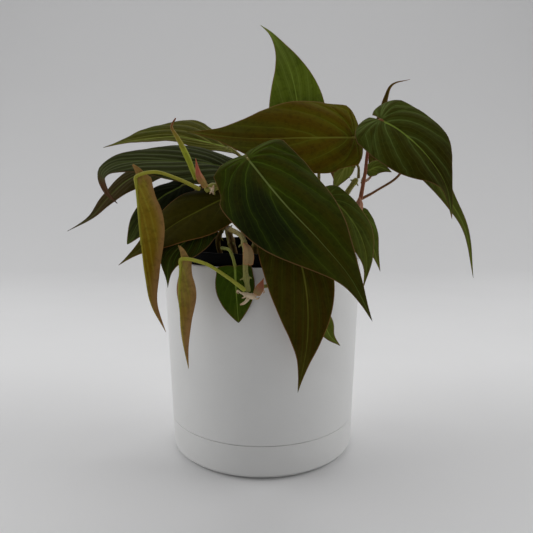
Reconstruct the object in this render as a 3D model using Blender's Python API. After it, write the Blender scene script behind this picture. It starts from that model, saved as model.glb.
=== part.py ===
"""Potted heart-leaf philodendron in a white two-piece planter.

Every leaf (blade with its stalk), vine, sheath, root tuft and pot part is its
own closed object.  Dimensions in the tables are millimetres, +Z up, the
planter's axis on x = y = 0 and its underside on z = 0.  -Y is the front.
"""
import bpy
import math
import numpy as np

for _o in list(bpy.data.objects):
    bpy.data.objects.remove(_o, do_unlink=True)

MM = 0.001

# --------------------------------------------------------------------------
# planter
# --------------------------------------------------------------------------
RIM_R, RIM_Z = 58.0, 114.0          # outer rim of the planter
SEAM_R, SEAM_Z = 54.8, 19.0         # joint between planter and saucer
FOOT_R = 54.2                       # saucer underside
WALL = 2.8


def lathe(name, profile, sides=48):
    """Closed body turned about Z.  profile: (radius, z) from the axis at the
    bottom, round the outside, back to the axis at the top."""
    verts, faces, rings = [], [], []
    for r, z in profile:
        if r < 1e-6:
            rings.append([len(verts)])
            verts.append((0.0, 0.0, z))
        else:
            rings.append(list(range(len(verts), len(verts) + sides)))
            for k in range(sides):
                a = 2 * math.pi * k / sides
                verts.append((r * math.cos(a), r * math.sin(a), z))
    for a, b in zip(rings[:-1], rings[1:]):
        for k in range(sides):
            n = (k + 1) % sides
            if len(a) == 1:
                faces.append((a[0], b[n], b[k]))
            elif len(b) == 1:
                faces.append((a[k], a[n], b[0]))
            else:
                faces.append((a[k], a[n], b[n], b[k]))
    return add(name, verts, faces)


def add(name, verts, faces):
    me = bpy.data.meshes.new(name)
    me.from_pydata([tuple(float(c) * MM for c in v) for v in verts], [], [tuple(f) for f in faces])
    me.validate()
    me.shade_smooth()
    me.set_sharp_from_angle(angle=math.radians(38))
    me.materials.append(material(name))
    ob = bpy.data.objects.new(name, me)
    bpy.context.scene.collection.objects.link(ob)
    return ob


GREEN, DEEP, BRONZE, BLUSH = (.075, .11, .03), (.045, .075, .03), (.13, .085, .02), (.25, .13, .06)
COLOURS = {   # base colour, roughness
    'planter_pot': ((.72, .72, .71), .45), 'snap_saucer': ((.72, .72, .71), .45),
    'nursery_pot': ((.012, .012, .013), .5), 'potting_mix': ((.022, .015, .010), .95),
    'leaf_front_large': (DEEP, .7), 'leaf_top_bronze': (BRONZE, .7), 'leaf_right_heart': (GREEN, .65),
    'leaf_left_middle': (DEEP, .7), 'leaf_left_bronze': (BRONZE, .7), 'leaf_left_dark': (DEEP, .7),
    'leaf_left_rim': (DEEP, .7), 'leaf_young_left': (BLUSH, .6), 'leaf_young_front': (BLUSH, .6),
    'leaf_front_lower': (BRONZE, .7), 'leaf_right_up': (BRONZE, .7), 'new_leaf_spear': ((.32, .40, .04), .5),
    'sheath_left': ((.50, .28, .20), .6), 'sheath_front': ((.55, .45, .30), .6),
    'sheath_front_low': ((.50, .28, .20), .6), 'sheath_right': ((.50, .28, .20), .6),
    'roots_left': ((.6, .58, .45), .7), 'roots_front': ((.6, .58, .45), .7), 'roots_right': ((.25, .14, .08), .8),
}


def material(name):
    colour, rough = COLOURS.get(name, ((.20, .24, .07), .6) if name.startswith('vine') else (GREEN, .7))
    mat = bpy.data.materials.new(name)
    mat.use_nodes = True
    node = mat.node_tree.nodes['Principled BSDF']
    node.inputs['Base Color'].default_value = (*colour, 1)
    node.inputs['Roughness'].default_value = rough
    node.inputs['Metallic'].default_value = 0.0
    return mat


# --------------------------------------------------------------------------
# curves and leaf blades
# --------------------------------------------------------------------------
def spline(points, n):
    """Smooth curve through the points, n evenly spaced samples."""
    p = np.asarray(points, float)
    if len(p) == 2:
        return p[0] + (p[1] - p[0]) * np.linspace(0, 1, n)[:, None]
    p = np.vstack([2 * p[0] - p[1], p, 2 * p[-1] - p[-2]])
    out = []
    for i in range(1, len(p) - 2):
        p0, p1, p2, p3 = p[i - 1:i + 3]
        t0 = 0.0
        t1 = t0 + np.linalg.norm(p1 - p0) ** .5
        t2 = t1 + np.linalg.norm(p2 - p1) ** .5
        t3 = t2 + np.linalg.norm(p3 - p2) ** .5
        t = np.linspace(t1, t2, 25)[:, None]
        a1 = (t1 - t) / (t1 - t0) * p0 + (t - t0) / (t1 - t0) * p1
        a2 = (t2 - t) / (t2 - t1) * p1 + (t - t1) / (t2 - t1) * p2
        a3 = (t3 - t) / (t3 - t2) * p2 + (t - t2) / (t3 - t2) * p3
        b1 = (t2 - t) / (t2 - t0) * a1 + (t - t0) / (t2 - t0) * a2
        b2 = (t3 - t) / (t3 - t1) * a2 + (t - t1) / (t3 - t1) * a3
        c = (t2 - t) / (t2 - t1) * b1 + (t - t1) / (t2 - t1) * b2
        out.append(c if i == len(p) - 3 else c[:-1])
    q = np.vstack(out)
    d = np.concatenate([[0], np.cumsum(np.linalg.norm(np.diff(q, axis=0), axis=1))])
    x = np.linspace(0, d[-1], n)
    return np.stack([np.interp(x, d, q[:, k]) for k in range(3)], -1)


# leaf outlines: (s, u, v) along the margin from the notch to the tip;
# u in blade lengths (negative: lobe lengths behind the stalk), v in half widths
OUTLINES = {
    'heart': [(0, -.80, .06), (.06, -.98, .24), (.13, -.95, .48), (.21, -.52, .76), (.29, .04, .94), (.38, .16, 1.0),
              (.47, .28, .985), (.57, .42, .90), (.67, .56, .70), (.77, .69, .43), (.86, .81, .19), (.93, .91, .07), (1, 1, 0)],
    'round': [(0, -.80, .06), (.06, -.98, .24), (.13, -.95, .48), (.21, -.50, .76), (.29, .05, .93), (.38, .17, 1.0),
              (.47, .30, 1.0), (.57, .44, .88), (.67, .56, .63), (.77, .66, .34), (.86, .77, .14), (.93, .89, .065), (1, 1, 0)],
    'ribbon': [(0, -.80, .06), (.06, -.98, .24), (.13, -.95, .48), (.21, -.52, .76), (.29, .04, .94), (.38, .16, 1.0),
               (.47, .27, .99), (.57, .39, .91), (.67, .51, .72), (.77, .63, .50), (.86, .75, .36), (.93, .87, .27), (1, 1, 0)],
    'drip': [(0, -.80, .06), (.06, -.98, .24), (.13, -.95, .48), (.21, -.52, .76), (.29, .04, .94), (.38, .12, 1.0),
             (.47, .21, .95), (.57, .33, .77), (.67, .45, .52), (.77, .58, .32), (.86, .73, .18), (.93, .87, .09), (1, 1, 0)],
    'lance': [(0, -.70, .10), (.06, -1.0, .30), (.13, -.80, .60), (.21, -.25, .80), (.29, .07, .90), (.38, .19, .98),
              (.47, .31, 1.0), (.57, .45, .90), (.67, .58, .68), (.77, .71, .42), (.86, .83, .22), (.93, .92, .10), (1, 1, 0)],
    'oval': [(0, -.70, .08), (.06, -1.0, .28), (.13, -.90, .55), (.21, -.35, .80), (.29, .08, .92), (.38, .22, .99),
             (.47, .36, 1.0), (.57, .51, .93), (.67, .66, .75), (.77, .79, .52), (.86, .89, .30), (.93, .96, .13), (1, 1, 0)],
}


def outline(kind, s):
    tab = np.array(OUTLINES[kind])

    def smooth(ys):
        xs = tab[:, 0]
        m = np.gradient(ys, xs)
        i = np.clip(np.searchsorted(xs, s, side='right') - 1, 0, len(xs) - 2)
        h = xs[i + 1] - xs[i]
        t = (s - xs[i]) / h
        return ((2 * t**3 - 3 * t**2 + 1) * ys[i] + (t**3 - 2 * t**2 + t) * h * m[i]
                + (-2 * t**3 + 3 * t**2) * ys[i + 1] + (t**3 - t**2) * h * m[i + 1])
    v = np.maximum(smooth(tab[:, 2]), 0)
    v[s >= 1] = 0
    return smooth(tab[:, 1]), v


def blade_frame(mid, face, n=81):
    """Midrib samples with tangent, upper-side normal and left direction."""
    c = spline(mid, n)
    t = np.gradient(c, axis=0)
    t /= np.linalg.norm(t, axis=1)[:, None]
    h = np.asarray(face, float)
    h /= np.linalg.norm(h, axis=1)[:, None]
    xs = np.linspace(0, 1, len(h))
    nn = np.stack([np.interp(np.linspace(0, 1, n), xs, h[:, k]) for k in range(3)], -1)
    for _ in range(13):
        nn -= (nn * t).sum(1)[:, None] * t
        nn /= np.linalg.norm(nn, axis=1)[:, None]
        nn[1:-1] = (nn[:-2] + 2 * nn[1:-1] + nn[2:]) / 4
    nn -= (nn * t).sum(1)[:, None] * t
    nn /= np.linalg.norm(nn, axis=1)[:, None]
    return c, t, nn, np.cross(nn, t)


def blade_points(leaf, rows, cols):
    """Middle surface of a blade, indexed [side][row][col]; side 0 is the
    left of the midrib, col 0 the midrib and col -1 the margin."""
    c, t, nn, b = blade_frame(leaf['mid'], leaf['face'])
    n = len(c)
    length = np.linalg.norm(np.diff(c, axis=0), axis=1).sum()
    s, w = np.asarray(rows, float), np.asarray(cols, float)[None, :]
    um, vm = outline(leaf.get('kind', 'heart'), s)
    um = np.where(um < 0, um * leaf.get('lobe', .10), um)
    um[-1] = 1.0
    r = np.where(s > .30, ((np.clip(s, .3, 1) - .30) / .70) ** 2.2, 0.)
    r = np.minimum(r, np.where(um > 0, um * .985, 0))
    r[-1] = 1.0
    qu, qv = r + (um - r) * .30, vm * .66
    u = (1 - w)**2 * r[:, None] + 2 * w * (1 - w) * qu[:, None] + w**2 * um[:, None]
    v = 2 * w * (1 - w) * qv[:, None] + w**2 * vm[:, None]
    out = []
    flat = v
    for side, half, key in ((1, leaf['half'][0], 'fold_left'), (-1, leaf['half'][1], 'fold_right')):
        e = np.clip(s / .42, 0, 1)[:, None]
        v = flat * (1 - leaf.get('shoulder', (0, 0))[side < 0] * (1 - e * e * (3 - 2 * e)))
        f0, f1 = [math.radians(a) for a in leaf.get(key, leaf.get('fold', (12, -20)))]
        q = np.linspace(0, 1.15, 60)
        ph = f0 + (f1 - f0) * q
        dq = np.diff(q)
        x = np.interp(v, q, np.concatenate([[0], np.cumsum((np.cos(ph[1:]) + np.cos(ph[:-1])) / 2 * dq)])) * half
        z = np.interp(v, q, np.concatenate([[0], np.cumsum((np.sin(ph[1:]) + np.sin(ph[:-1])) / 2 * dq)])) * half
        z = z + leaf.get('wave', .8) * np.clip(v, 0, 1)**2 * np.clip((1 - u) * 3, 0, 1) * np.sin(
            2 * math.pi * (2.1 * u + leaf.get('phase', .2) + (.37 if side < 0 else 0)))
        ui = np.clip(u, 0, 1) * (n - 1)
        i0 = np.clip(ui.astype(int), 0, n - 2)
        fr = (ui - i0)[..., None]
        at = [a[i0] * (1 - fr) + a[i0 + 1] * fr for a in (c, nn, b)]
        back = np.clip(-u, 0, None) * length
        th = math.radians(leaf.get('droop', 20)) * np.clip(-u / leaf.get('lobe', .10), 0, 1)
        base = at[0] - t[0] * (back * np.cos(th))[..., None] - nn[0] * (back * np.sin(th))[..., None]
        out.append(base + at[2] * (side * x)[..., None] + at[1] * z[..., None])
    return np.array(out)


BLADE_ROWS = (0, .10, .20, .29, .40, .52, .65, .80, 1.0)
BLADE_COLS = (0, .5, 1)


def blade_solid(leaf, thick):
    """Closed blade: the middle surface thickened along its own normals."""
    pts = blade_points(leaf, BLADE_ROWS, BLADE_COLS)
    nr, nc = len(BLADE_ROWS), len(BLADE_COLS)
    index, verts = {}, []

    def vid(side, i, j):
        if i == nr - 1:
            key = 'tip'
        elif j == 0:
            key = ('mid', i) if BLADE_ROWS[i] > .30 else 'base'
        else:
            key = (side, i, j)
        if key not in index:
            index[key] = len(verts)
            verts.append(pts[side][i][j])
        return index[key]
    tris = []
    for side in (0, 1):
        for i in range(nr - 1):
            for j in range(nc - 1):
                q = [vid(side, i, j), vid(side, i, j + 1), vid(side, i + 1, j + 1), vid(side, i + 1, j)]
                if side == 0:
                    q = q[::-1]
                for t in ((q[0], q[1], q[2]), (q[0], q[2], q[3])):
                    if len(set(t)) == 3:
                        tris.append(t)
    verts = np.array(verts)
    nrm = np.zeros_like(verts)
    for a, b_, c_ in tris:
        f = np.cross(verts[b_] - verts[a], verts[c_] - verts[a])
        for k in (a, b_, c_):
            nrm[k] += f
    nrm /= np.linalg.norm(nrm, axis=1)[:, None]
    top = verts + nrm * thick / 2
    bot = verts - nrm * thick / 2
    n = len(verts)
    faces = list(tris) + [(a + n, c_ + n, b_ + n) for a, b_, c_ in tris]
    edges = {}
    for t in tris:
        for a, b_ in ((t[0], t[1]), (t[1], t[2]), (t[2], t[0])):
            edges[(a, b_)] = True
    for a, b_ in edges:
        if (b_, a) not in edges:
            faces += [(b_, a, a + n), (b_, a + n, b_ + n)]
    return np.vstack([top, bot]), faces


def tube_solid(points, radii, rings, sides=6):
    """Closed round rod along a smooth curve, radius interpolated."""
    c = spline(points, rings)
    t = np.gradient(c, axis=0)
    t /= np.linalg.norm(t, axis=1)[:, None]
    ref = np.array([0, 0, 1.]) if abs(t[0][2]) < .8 else np.array([0, 1., 0])
    a = np.cross(t[0], ref)
    rad = np.interp(np.linspace(0, 1, rings), np.linspace(0, 1, len(radii)), radii)
    verts, faces = [], []
    for k in range(rings):
        a = a - (a @ t[k]) * t[k]
        a /= np.linalg.norm(a)
        b_ = np.cross(t[k], a)
        for m in range(sides):
            ang = 2 * math.pi * m / sides
            verts.append(c[k] + rad[k] * (a * math.cos(ang) + b_ * math.sin(ang)))
    for k in range(rings - 1):
        for m in range(sides):
            n = (m + 1) % sides
            faces.append((k * sides + m, k * sides + n, (k + 1) * sides + n, (k + 1) * sides + m))
    faces.append(tuple(range(sides))[::-1])
    faces.append(tuple((rings - 1) * sides + m for m in range(sides)))
    return np.array(verts), faces


def union(name, parts):
    """One closed object from overlapping closed parts."""
    obs = [add(name if k == 0 else name + '_tool', v, f) for k, (v, f) in enumerate(parts)]
    base = obs[0]
    for tool in obs[1:]:
        m = base.modifiers.new('join', 'BOOLEAN')
        m.operation, m.solver, m.object = 'UNION', 'EXACT', tool
        bpy.context.view_layer.update()
        me = bpy.data.meshes.new_from_object(base.evaluated_get(bpy.context.evaluated_depsgraph_get()))
        base.modifiers.clear()
        base.data = me
        me.materials.clear()
        me.materials.append(material(name))
        bpy.data.objects.remove(tool, do_unlink=True)
    return base


# --------------------------------------------------------------------------
# leaves: midrib points from the stalk joint to the drip tip, directions the
# upper side faces along the midrib, half widths (left, right), stalk path
# --------------------------------------------------------------------------
LEAVES = {
    # crown, front
    'leaf_front_large': dict(mid=[(-7, -44, 168), (11, -62, 146), (28, -76, 128), (41, -84, 112), (50, -86, 94)],
                             face=[(-.15, -.70, .70), (.05, -.9, .42), (.25, -.95, .25)], half=(23.5, 26.5), shoulder=(0, .7), lobe=.085,
                             droop=35, fold=(12, -18), stalk=[(-4, -15, 143), (-6, -27, 158), (-7, -42, 167)]),
    'leaf_top_bronze': dict(mid=[(52, -9, 182), (21, -18, 181), (-6, -24, 180), (-40, -30, 183)],
                            face=[(0, -.93, .37), (0, -.93, .37), (0, -.85, .5)], half=(20.5, 25), shoulder=(.45, .14), lobe=.06,
                            droop=25, fold=(10, -24), stalk=[(54, 2, 166), (54, 0, 176), (53, -7, 181)]),
    'leaf_upright': dict(mid=[(22, 8, 170), (21, 10, 203), (15, 14, 228), (6, 10, 242), (-1, 6, 247)],
                         face=[(0, -.98, .2), (-.1, -.98, .2), (-.2, -.8, .5)], half=(18.5, 17), lobe=.10,
                         fold=(14, -14), stalk=[(1, -1, 150), (12, 4, 157), (21, 8, 168)]),
    # crown, right
    'leaf_right_heart': dict(mid=[(66, -15, 191), (77, -22, 183), (89, -28, 170), (99, -30, 154), (103, -29, 137)],
                             face=[(0, -.85, .5), (.1, -.9, .4), (.3, -.95, .1)], half=(20.5, 22.5), lobe=.13, kind='round',
                             fold=(12, -20), stalk=[(57, -7, 148), (59, -8, 162), (61, -8, 178), (66, -13, 190)]),
    'leaf_right_hanging': dict(mid=[(78, 4, 189), (91, 2, 175), (101, 0, 161), (111, -3, 145), (119.5, -5, 129), (125, -6, 101)],
                               face=[(.2, -.9, .35), (.3, -.95, .1), (.4, -.9, 0)], half=(11, 11), lobe=.10, kind='drip', stalk_r=.72,
                               fold=(12, -20), stalk=[(58, 1, 147), (68, 5, 152), (83, 7, 163), (82, 7, 176), (80, 5, 187)]),
    'leaf_right_up': dict(mid=[(71, 20, 168), (72, 18, 190), (75, 16, 208), (78, 14, 215), (88, 12, 218)],
                          face=[(.1, -.98, .1), (-.1, -.98, .1), (-.3, -.5, .8)], half=(6.8, 6.8), lobe=.08, kind='drip',
                          fold=(30, 10), stalk=[(60, 7, 157), (66, 15, 160), (71, 20, 166)]),
    # crown, left
    'leaf_left_upper': dict(mid=[(-20, 11, 178), (-33, 7, 181), (-49, 5, 184), (-66, 3, 183), (-83, 2, 180), (-93, 1, 177)],
                            face=[(0, -.5, .86), (0, -.5, .86), (0, -.5, .85)], half=(9, 26), lobe=.09,
                            fold=(8, -12), stalk=[(-7, -1, 160), (-11, 5, 170), (-19, 11, 177)]),
    'leaf_left_middle': dict(mid=[(-14, -17, 163), (-29, -22, 167), (-47, -26, 168), (-68, -27, 168), (-82, -26, 165),
                                  (-87, -24, 160), (-85, -23, 151), (-80, -22, 145)],
                             face=[(0, -.55, .83), (0, -.6, .8), (0, -.6, .8), (-.6, -.6, .5), (-.9, -.4, .1)],
                             half=(18, 17.5), lobe=.08, kind='ribbon', fold=(10, -18), stalk=[(-9, -10, 151), (-10, -13, 157), (-13, -16, 162)]),
    'leaf_left_back': dict(mid=[(-60, 28, 168), (-84, 26, 160), (-98, 24, 148), (-108, 20, 136), (-122, 16, 127)],
                           face=[(-.1, -.55, .83), (-.2, -.6, .75), (-.5, -.6, .6)], half=(12.5, 10), lobe=.09,
                           fold=(12, -20), stalk=[(-27, 24, 150), (-38, 24, 162), (-58, 27, 168)]),
    'leaf_left_bronze': dict(mid=[(-18, -33, 149), (-30, -41, 143), (-43, -45, 136), (-56, -47, 127), (-74, -46, 114)],
                             face=[(-.15, -.72, .65), (-.3, -.75, .6), (-.4, -.75, .55)], half=(17, 17), lobe=.10,
                             fold=(12, -20), stalk=[(-16, -28, 142), (-17, -30, 145), (-18, -32, 148)]),
    'leaf_left_dark': dict(mid=[(-44, -19, 155), (-56, -23, 148), (-66, -26, 137), (-74, -27, 123)],
                           face=[(-.2, -.8, .6), (-.3, -.9, .3), (-.2, -1, .1)], half=(12, 8), lobe=.10, kind='oval',
                           fold=(10, -18), stalk=[(-27, -20, 132), (-33, -14, 147), (-43, -17, 155)]),
    # young folded leaves hanging at the left
    'leaf_young_left': dict(mid=[(-60, -59, 158), (-59, -61, 145), (-58, -62, 128), (-56.5, -62, 111), (-54.5, -61, 97), (-48, -59, 82)],
                            face=[(.62, .78, .1), (.62, .78, 0), (.5, .85, .1)], half=(10.5, 10.8), shoulder=(.3, .9), lobe=.09, kind='lance', stalk_r=.82,
                            fold=(50, 42), fold_left=(44, 36),
                            stalk=[(-31, -51, 153), (-41, -57, 158), (-51, -61, 161), (-59, -59, 159)]),
    'leaf_young_front': dict(mid=[(-38, -67, 119), (-39, -68, 106), (-39, -68, 93), (-38, -67, 79), (-36, -65, 65)],
                             face=[(.62, .78, .1), (.62, .78, 0), (.5, .85, .1)], half=(7, 7.3), shoulder=(.3, .85), lobe=.14, kind='lance', stalk_r=.8,
                             fold=(50, 42), fold_left=(40, 30),
                             stalk=[(-8, -68, 105), (-17, -69, 112), (-27, -69, 118), (-37, -68, 119)]),
    # hanging over the front rim
    'leaf_small_front': dict(mid=[(-13, -60.3, 115), (-12.6, -60.8, 106), (-12, -60.8, 96), (-11.4, -60.3, 87)],
                             face=[(0, -.9, .4), (0, -1, .1), (0, -1, 0)], half=(9.2, 10), kind='oval', lobe=.03, stalk_r=.72,
                             fold=(4, -8), wave=.3, stalk=[(-20, -50, 123.4), (-15.5, -57.5, 122.6), (-13.4, -60.4, 118.5)]),
    'leaf_front_lower': dict(mid=[(13, -56, 137), (19, -66, 118), (22, -70, 100), (22, -69, 78), (18, -66, 53)],
                             face=[(0, -.9, .4), (0, -1, .1), (0, -1, 0)], half=(15, 19), lobe=.10,
                             fold=(14, -18), stalk=[(-2, -14, 132), (4, -32, 142), (12, -53, 138)]),
    'leaf_small_right': dict(mid=[(27, -63, 95), (31, -64, 87), (34, -64, 81), (39, -63, 76)],
                             face=[(.2, -.95, .2), (.2, -.95, .2)], half=(5, 5), kind='lance', lobe=.10,
                             fold=(14, -20), wave=.3, stalk=[(-1, -65, 106), (12, -61, 106), (26, -62, 97)]),
    'leaf_left_rim': dict(mid=[(-30, -42, 133), (-38, -49, 127), (-46, -53, 118), (-48, -50, 103)],
                          face=[(-.2, -.7, .7), (-.4, -.9, .2), (-.4, -.9, 0)], half=(11, 11), lobe=.10,
                          fold=(12, -20), wave=.5, stalk=[(-28, -20, 127), (-27, -31, 136), (-29, -40, 134)]),
    # hanging at the right
    'leaf_right_lower': dict(mid=[(36.5, -24, 149), (46, -27, 140), (53.5, -29, 128), (58, -26, 113), (57, -22, 97)],
                             face=[(.1, -.85, .5), (.3, -.9, .2), (.4, -.9, 0)], half=(9.5, 9.5), lobe=.10,
                             fold=(14, -18), stalk=[(38, -6, 134), (36, -12, 143), (36.5, -22, 148.5)]),
    'leaf_right_rim': dict(mid=[(58, -3, 139), (62, -4, 132), (66, -2, 119), (71, 0, 104)],
                           face=[(.4, -.85, .4), (.5, -.85, .1), (.5, -.85, 0)], half=(6.5, 6.5), kind='lance', lobe=.08,
                           fold=(14, -18), wave=.4, stalk=[(52, 1, 137), (55, 1, 140), (58, -1, 140)]),
    'leaf_cluster_a': dict(mid=[(52, 7, 170), (47, 3, 162), (41, -1, 151)], face=[(-.1, -.9, .4), (-.1, -.95, .2)],
                           half=(5.5, 5.5), kind='lance', lobe=.10, fold=(12, -20), wave=.3,
                           stalk=[(58, 8, 160), (58, 11, 167), (53, 8, 170)]),
    'leaf_cluster_b': dict(mid=[(63, 2, 164), (68, 0, 166), (76, -1, 163)], face=[(.1, -.8, .6), (.2, -.95, .2)],
                           half=(5, 5), kind='lance', lobe=.10, fold=(12, -20), wave=.3,
                           stalk=[(59, 0, 158), (61, 1, 162), (63, 2, 164)]),
    # back of the crown
    'leaf_back_upper': dict(mid=[(37, 33, 171), (44, 47, 180), (50, 64, 175), (54, 82, 154)],
                            face=[(.1, -.2, .95), (.1, .4, .9), (.1, .9, .4)], half=(16, 16), lobe=.09,
                            fold=(12, -20), stalk=[(36, 24, 142.5), (36, 28, 157), (37, 32, 170)]),
    'leaf_back_middle': dict(mid=[(-6, 27, 150), (-9, 42, 154), (-14, 59, 148), (-18, 71, 131)],
                             face=[(-.2, -.2, .95), (-.2, .4, .9), (-.2, .9, .4)], half=(11, 11), lobe=.09,
                             fold=(12, -20), stalk=[(-20, 23, 140), (-13, 22, 146), (-6, 26, 149)]),
    'leaf_back_arching': dict(mid=[(7, 30, 174), (8, 52, 176), (5, 76, 161), (1, 90, 131)],
                              face=[(0, -.1, 1), (0, .5, .9), (0, .95, .3)], half=(22, 16), lobe=.09,
                              fold=(10, -16), stalk=[(9, 31, 157), (8, 27, 166), (7, 29, 173)]),
    'leaf_back_left': dict(mid=[(-26, 40, 158), (-38, 56, 150), (-44, 72, 130), (-46, 78, 106)],
                           face=[(-.3, .2, .95), (-.3, .7, .6), (-.3, .95, .1)], half=(18, 18), lobe=.09,
                           fold=(12, -20), stalk=[(-23, 31, 142), (-24, 36, 152), (-26, 40, 157)]),
    'leaf_back_right': dict(mid=[(38, 38, 150), (46, 54, 144), (52, 68, 126), (53, 74, 102)],
                            face=[(.3, .2, .95), (.3, .7, .6), (.3, .95, .1)], half=(15, 15), lobe=.09,
                            fold=(12, -20), stalk=[(37, 28, 136), (38, 33, 146), (38, 37, 149)]),
    'leaf_back_rim': dict(mid=[(-2, 48, 131), (-3, 62, 124), (-4, 70, 108), (-4, 72, 88)],
                          face=[(0, .3, .95), (0, .8, .5), (0, 1, 0)], half=(13, 13), lobe=.10,
                          fold=(12, -20), stalk=[(5, 28, 122), (1, 36, 131), (-2, 46, 131)]),
    'leaf_back_rim_right': dict(mid=[(30, 48, 128), (35, 58, 122), (38, 66, 108), (39, 68, 88)],
                                face=[(.2, .3, .95), (.4, .8, .4), (.4, .9, 0)], half=(11, 11), lobe=.10,
                                fold=(12, -20), stalk=[(33, 28, 119), (30, 37, 127), (30, 46, 128)]),
    'leaf_back_rim_left': dict(mid=[(-41, 42, 130), (-52, 50, 124), (-60, 58, 110), (-62, 60, 92)],
                               face=[(-.3, .3, .9), (-.6, .7, .4), (-.7, .7, 0)], half=(12, 12), lobe=.10,
                               fold=(12, -20), stalk=[(-26, 24, 126), (-32, 34, 132), (-40, 41, 130)]),
}

# --------------------------------------------------------------------------
# vines, sheaths, unopened leaf, roots: path, radii
# --------------------------------------------------------------------------
SOIL_Z = 106.0
RODS = {
    'vine_center': ([(-5, -4, 107.5), (-4, -8, 124), (-5, -8, 142), (-4, -4, 158)], (2.3, 2.0, 1.9, 1.4)),
    'vine_left': ([(-21, -8, 107.5), (-25, -17, 124), (-17, -25, 138), (-6, -34, 148), (-11, -43, 155), (-19, -46, 155), (-28, -47, 153)],
                  (1.6, 1.5, 1.5, 1.6, 2.2)),
    'vine_front': ([(-13, -16, 107.5), (-17.5, -30, 130), (-17.5, -40, 132.2), (-15, -50.3, 132.4), (-9.5, -58, 129.6), (-7.8, -63, 123), (-7.6, -65.2, 113), (-6.4, -65.2, 104)],
                   (1.6, 1.5, 1.35, 1.45)),
    'vine_right': ([(22, 2, 107.5), (36, -2, 124), (47, -3, 134), (53, -4, 143)], (2.0, 2.0, 1.9, 1.9)),
    'vine_right_upper': ([(28, 10, 107.5), (42, 4, 132), (50, 3, 150), (56, 3, 159)], (2.0, 2.0, 1.9, 1.6)),
    'vine_back': ([(8, 18, 107.5), (7, 26, 124), (10, 30, 138), (9, 33, 154)], (2.2, 2.0, 1.9, 1.5)),
    'vine_back_left': ([(-16, 16, 107.5), (-22, 24, 124), (-24, 27, 138), (-23, 26, 152)], (2.0, 1.9, 1.8, 1.5)),
    'vine_back_right': ([(26, 20, 107.5), (35, 24, 118), (37, 25, 128), (36, 24, 140)], (2.0, 1.9, 1.8, 1.5)),
    'new_leaf_spear': ([(-33, -47, 158), (-38, -45, 170), (-42, -45, 178), (-45, -45, 184), (-43, -45, 188)], (1.2, 1.45, 1.15, .6, .32)),
    'roots_left': ([(-24.5, -50.5, 152.5), (-24, -53, 153), (-23.5, -55, 154.5)], (.8, .6, .4)),
    'roots_front': ([(-6, -67, 101), (-8, -69, 99), (-10, -69, 98)], (.9, .7, .4)),
    'roots_right': ([(52, 5, 160), (49, 8, 165), (50, 13, 169), (53, 13, 166)], (.5, .4, .3)),
}
SHEATHS = {
    'sheath_left': dict(mid=[(-27.5, -51, 154.5), (-30.5, -51.5, 160), (-32.5, -51.5, 168)], face=[(-.5, .8, .1), (-.5, .8, .2)],
                        half=(2.5, 2.5), kind='lance', lobe=.05, fold=(42, 42), wave=0),
    'sheath_front': dict(mid=[(-6.2, -67.8, 117.5), (-6.0, -67.4, 121), (-6.6, -66.6, 125), (-8.6, -65.8, 127.5)], face=[(.1, -1, .3), (.1, -1, .3), (.1, -1, .3)],
                         half=(2.9, 2.9), kind='oval', lobe=.05, fold=(-20, -30), wave=0),
    'sheath_front_low': dict(mid=[(-2.5, -68.5, 103), (-.5, -69, 107), (1.2, -68.5, 111)], face=[(.3, .9, .1), (.3, .9, .2)],
                             half=(2.6, 2.6), kind='lance', lobe=.05, fold=(35, 35), wave=0),
    'sheath_right': dict(mid=[(54, -8, 137), (56, -9, 143), (56, -9, 149)], face=[(-.1, .95, .1), (-.1, .95, .1)],
                         half=(3.2, 3.2), kind='oval', lobe=.05, fold=(25, 25), wave=0),
}

for name, leaf in LEAVES.items():
    big = max(leaf['half']) > 8
    bl = blade_solid(leaf, .8 if big else .7)
    c, t, nn, _b = blade_frame(leaf['mid'], leaf['face'])
    st = [np.array(p, float) for p in leaf['stalk'][:-1]]
    st += [c[0] - nn[0] * .5 - t[0] * .6, c[0] + t[0] * 2.2 - nn[0] * .15]
    r = leaf.get('stalk_r', .95 if big else .75)
    union(name, [bl, tube_solid(st, (r * 1.15, r, r * .9), 2 + 2 * len(leaf['stalk']), 5)])

for name, (path, radii) in RODS.items():
    thin = max(radii) < 1.0
    v, f = tube_solid(path, radii, 2 * len(path), 5 if thin else 7)
    add(name, v, f)

for name, sheath in SHEATHS.items():
    v, f = blade_solid(sheath, .7)
    add(name, v, f)

# --------------------------------------------------------------------------
# planter, saucer, nursery pot and potting mix
# --------------------------------------------------------------------------
def pot_r(z):
    """Outer radius of the planter wall at height z."""
    return SEAM_R + (RIM_R - SEAM_R) * (z - SEAM_Z) / (RIM_Z - SEAM_Z)


lathe('planter_pot', [
    (0, 3.6), (49.4, 3.6), (50.6, 4.8), (50.6, SEAM_Z + .4), (SEAM_R - .6, SEAM_Z + .4), (SEAM_R, SEAM_Z + 1.0),
    (pot_r(66), 66), (RIM_R, RIM_Z - .8), (RIM_R - .8, RIM_Z), (RIM_R - WALL + .8, RIM_Z), (RIM_R - WALL, RIM_Z - .8),
    (48.2, 8.6), (46.2, 6.6), (0, 6.6)], 44)
lathe('snap_saucer', [
    (0, 0), (FOOT_R - 3.0, 0), (FOOT_R - .9, .9), (FOOT_R, 3.2), (SEAM_R - .1, SEAM_Z - .6), (SEAM_R - .6, SEAM_Z),
    (51.6, SEAM_Z), (51.0, SEAM_Z - .6), (51.0, 3.8), (50.2, 3.0), (0, 3.0)], 44)
lathe('nursery_pot', [
    (0, 7.0), (44.6, 7.0), (45.6, 8.0), (53.4, 115.0), (54.6, 115.4), (54.6, 120.2), (54.2, 120.6), (52.8, 120.6), (52.4, 120.2),
    (44.4, 9.6), (43.4, 8.6), (0, 8.6)], 36)


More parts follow.
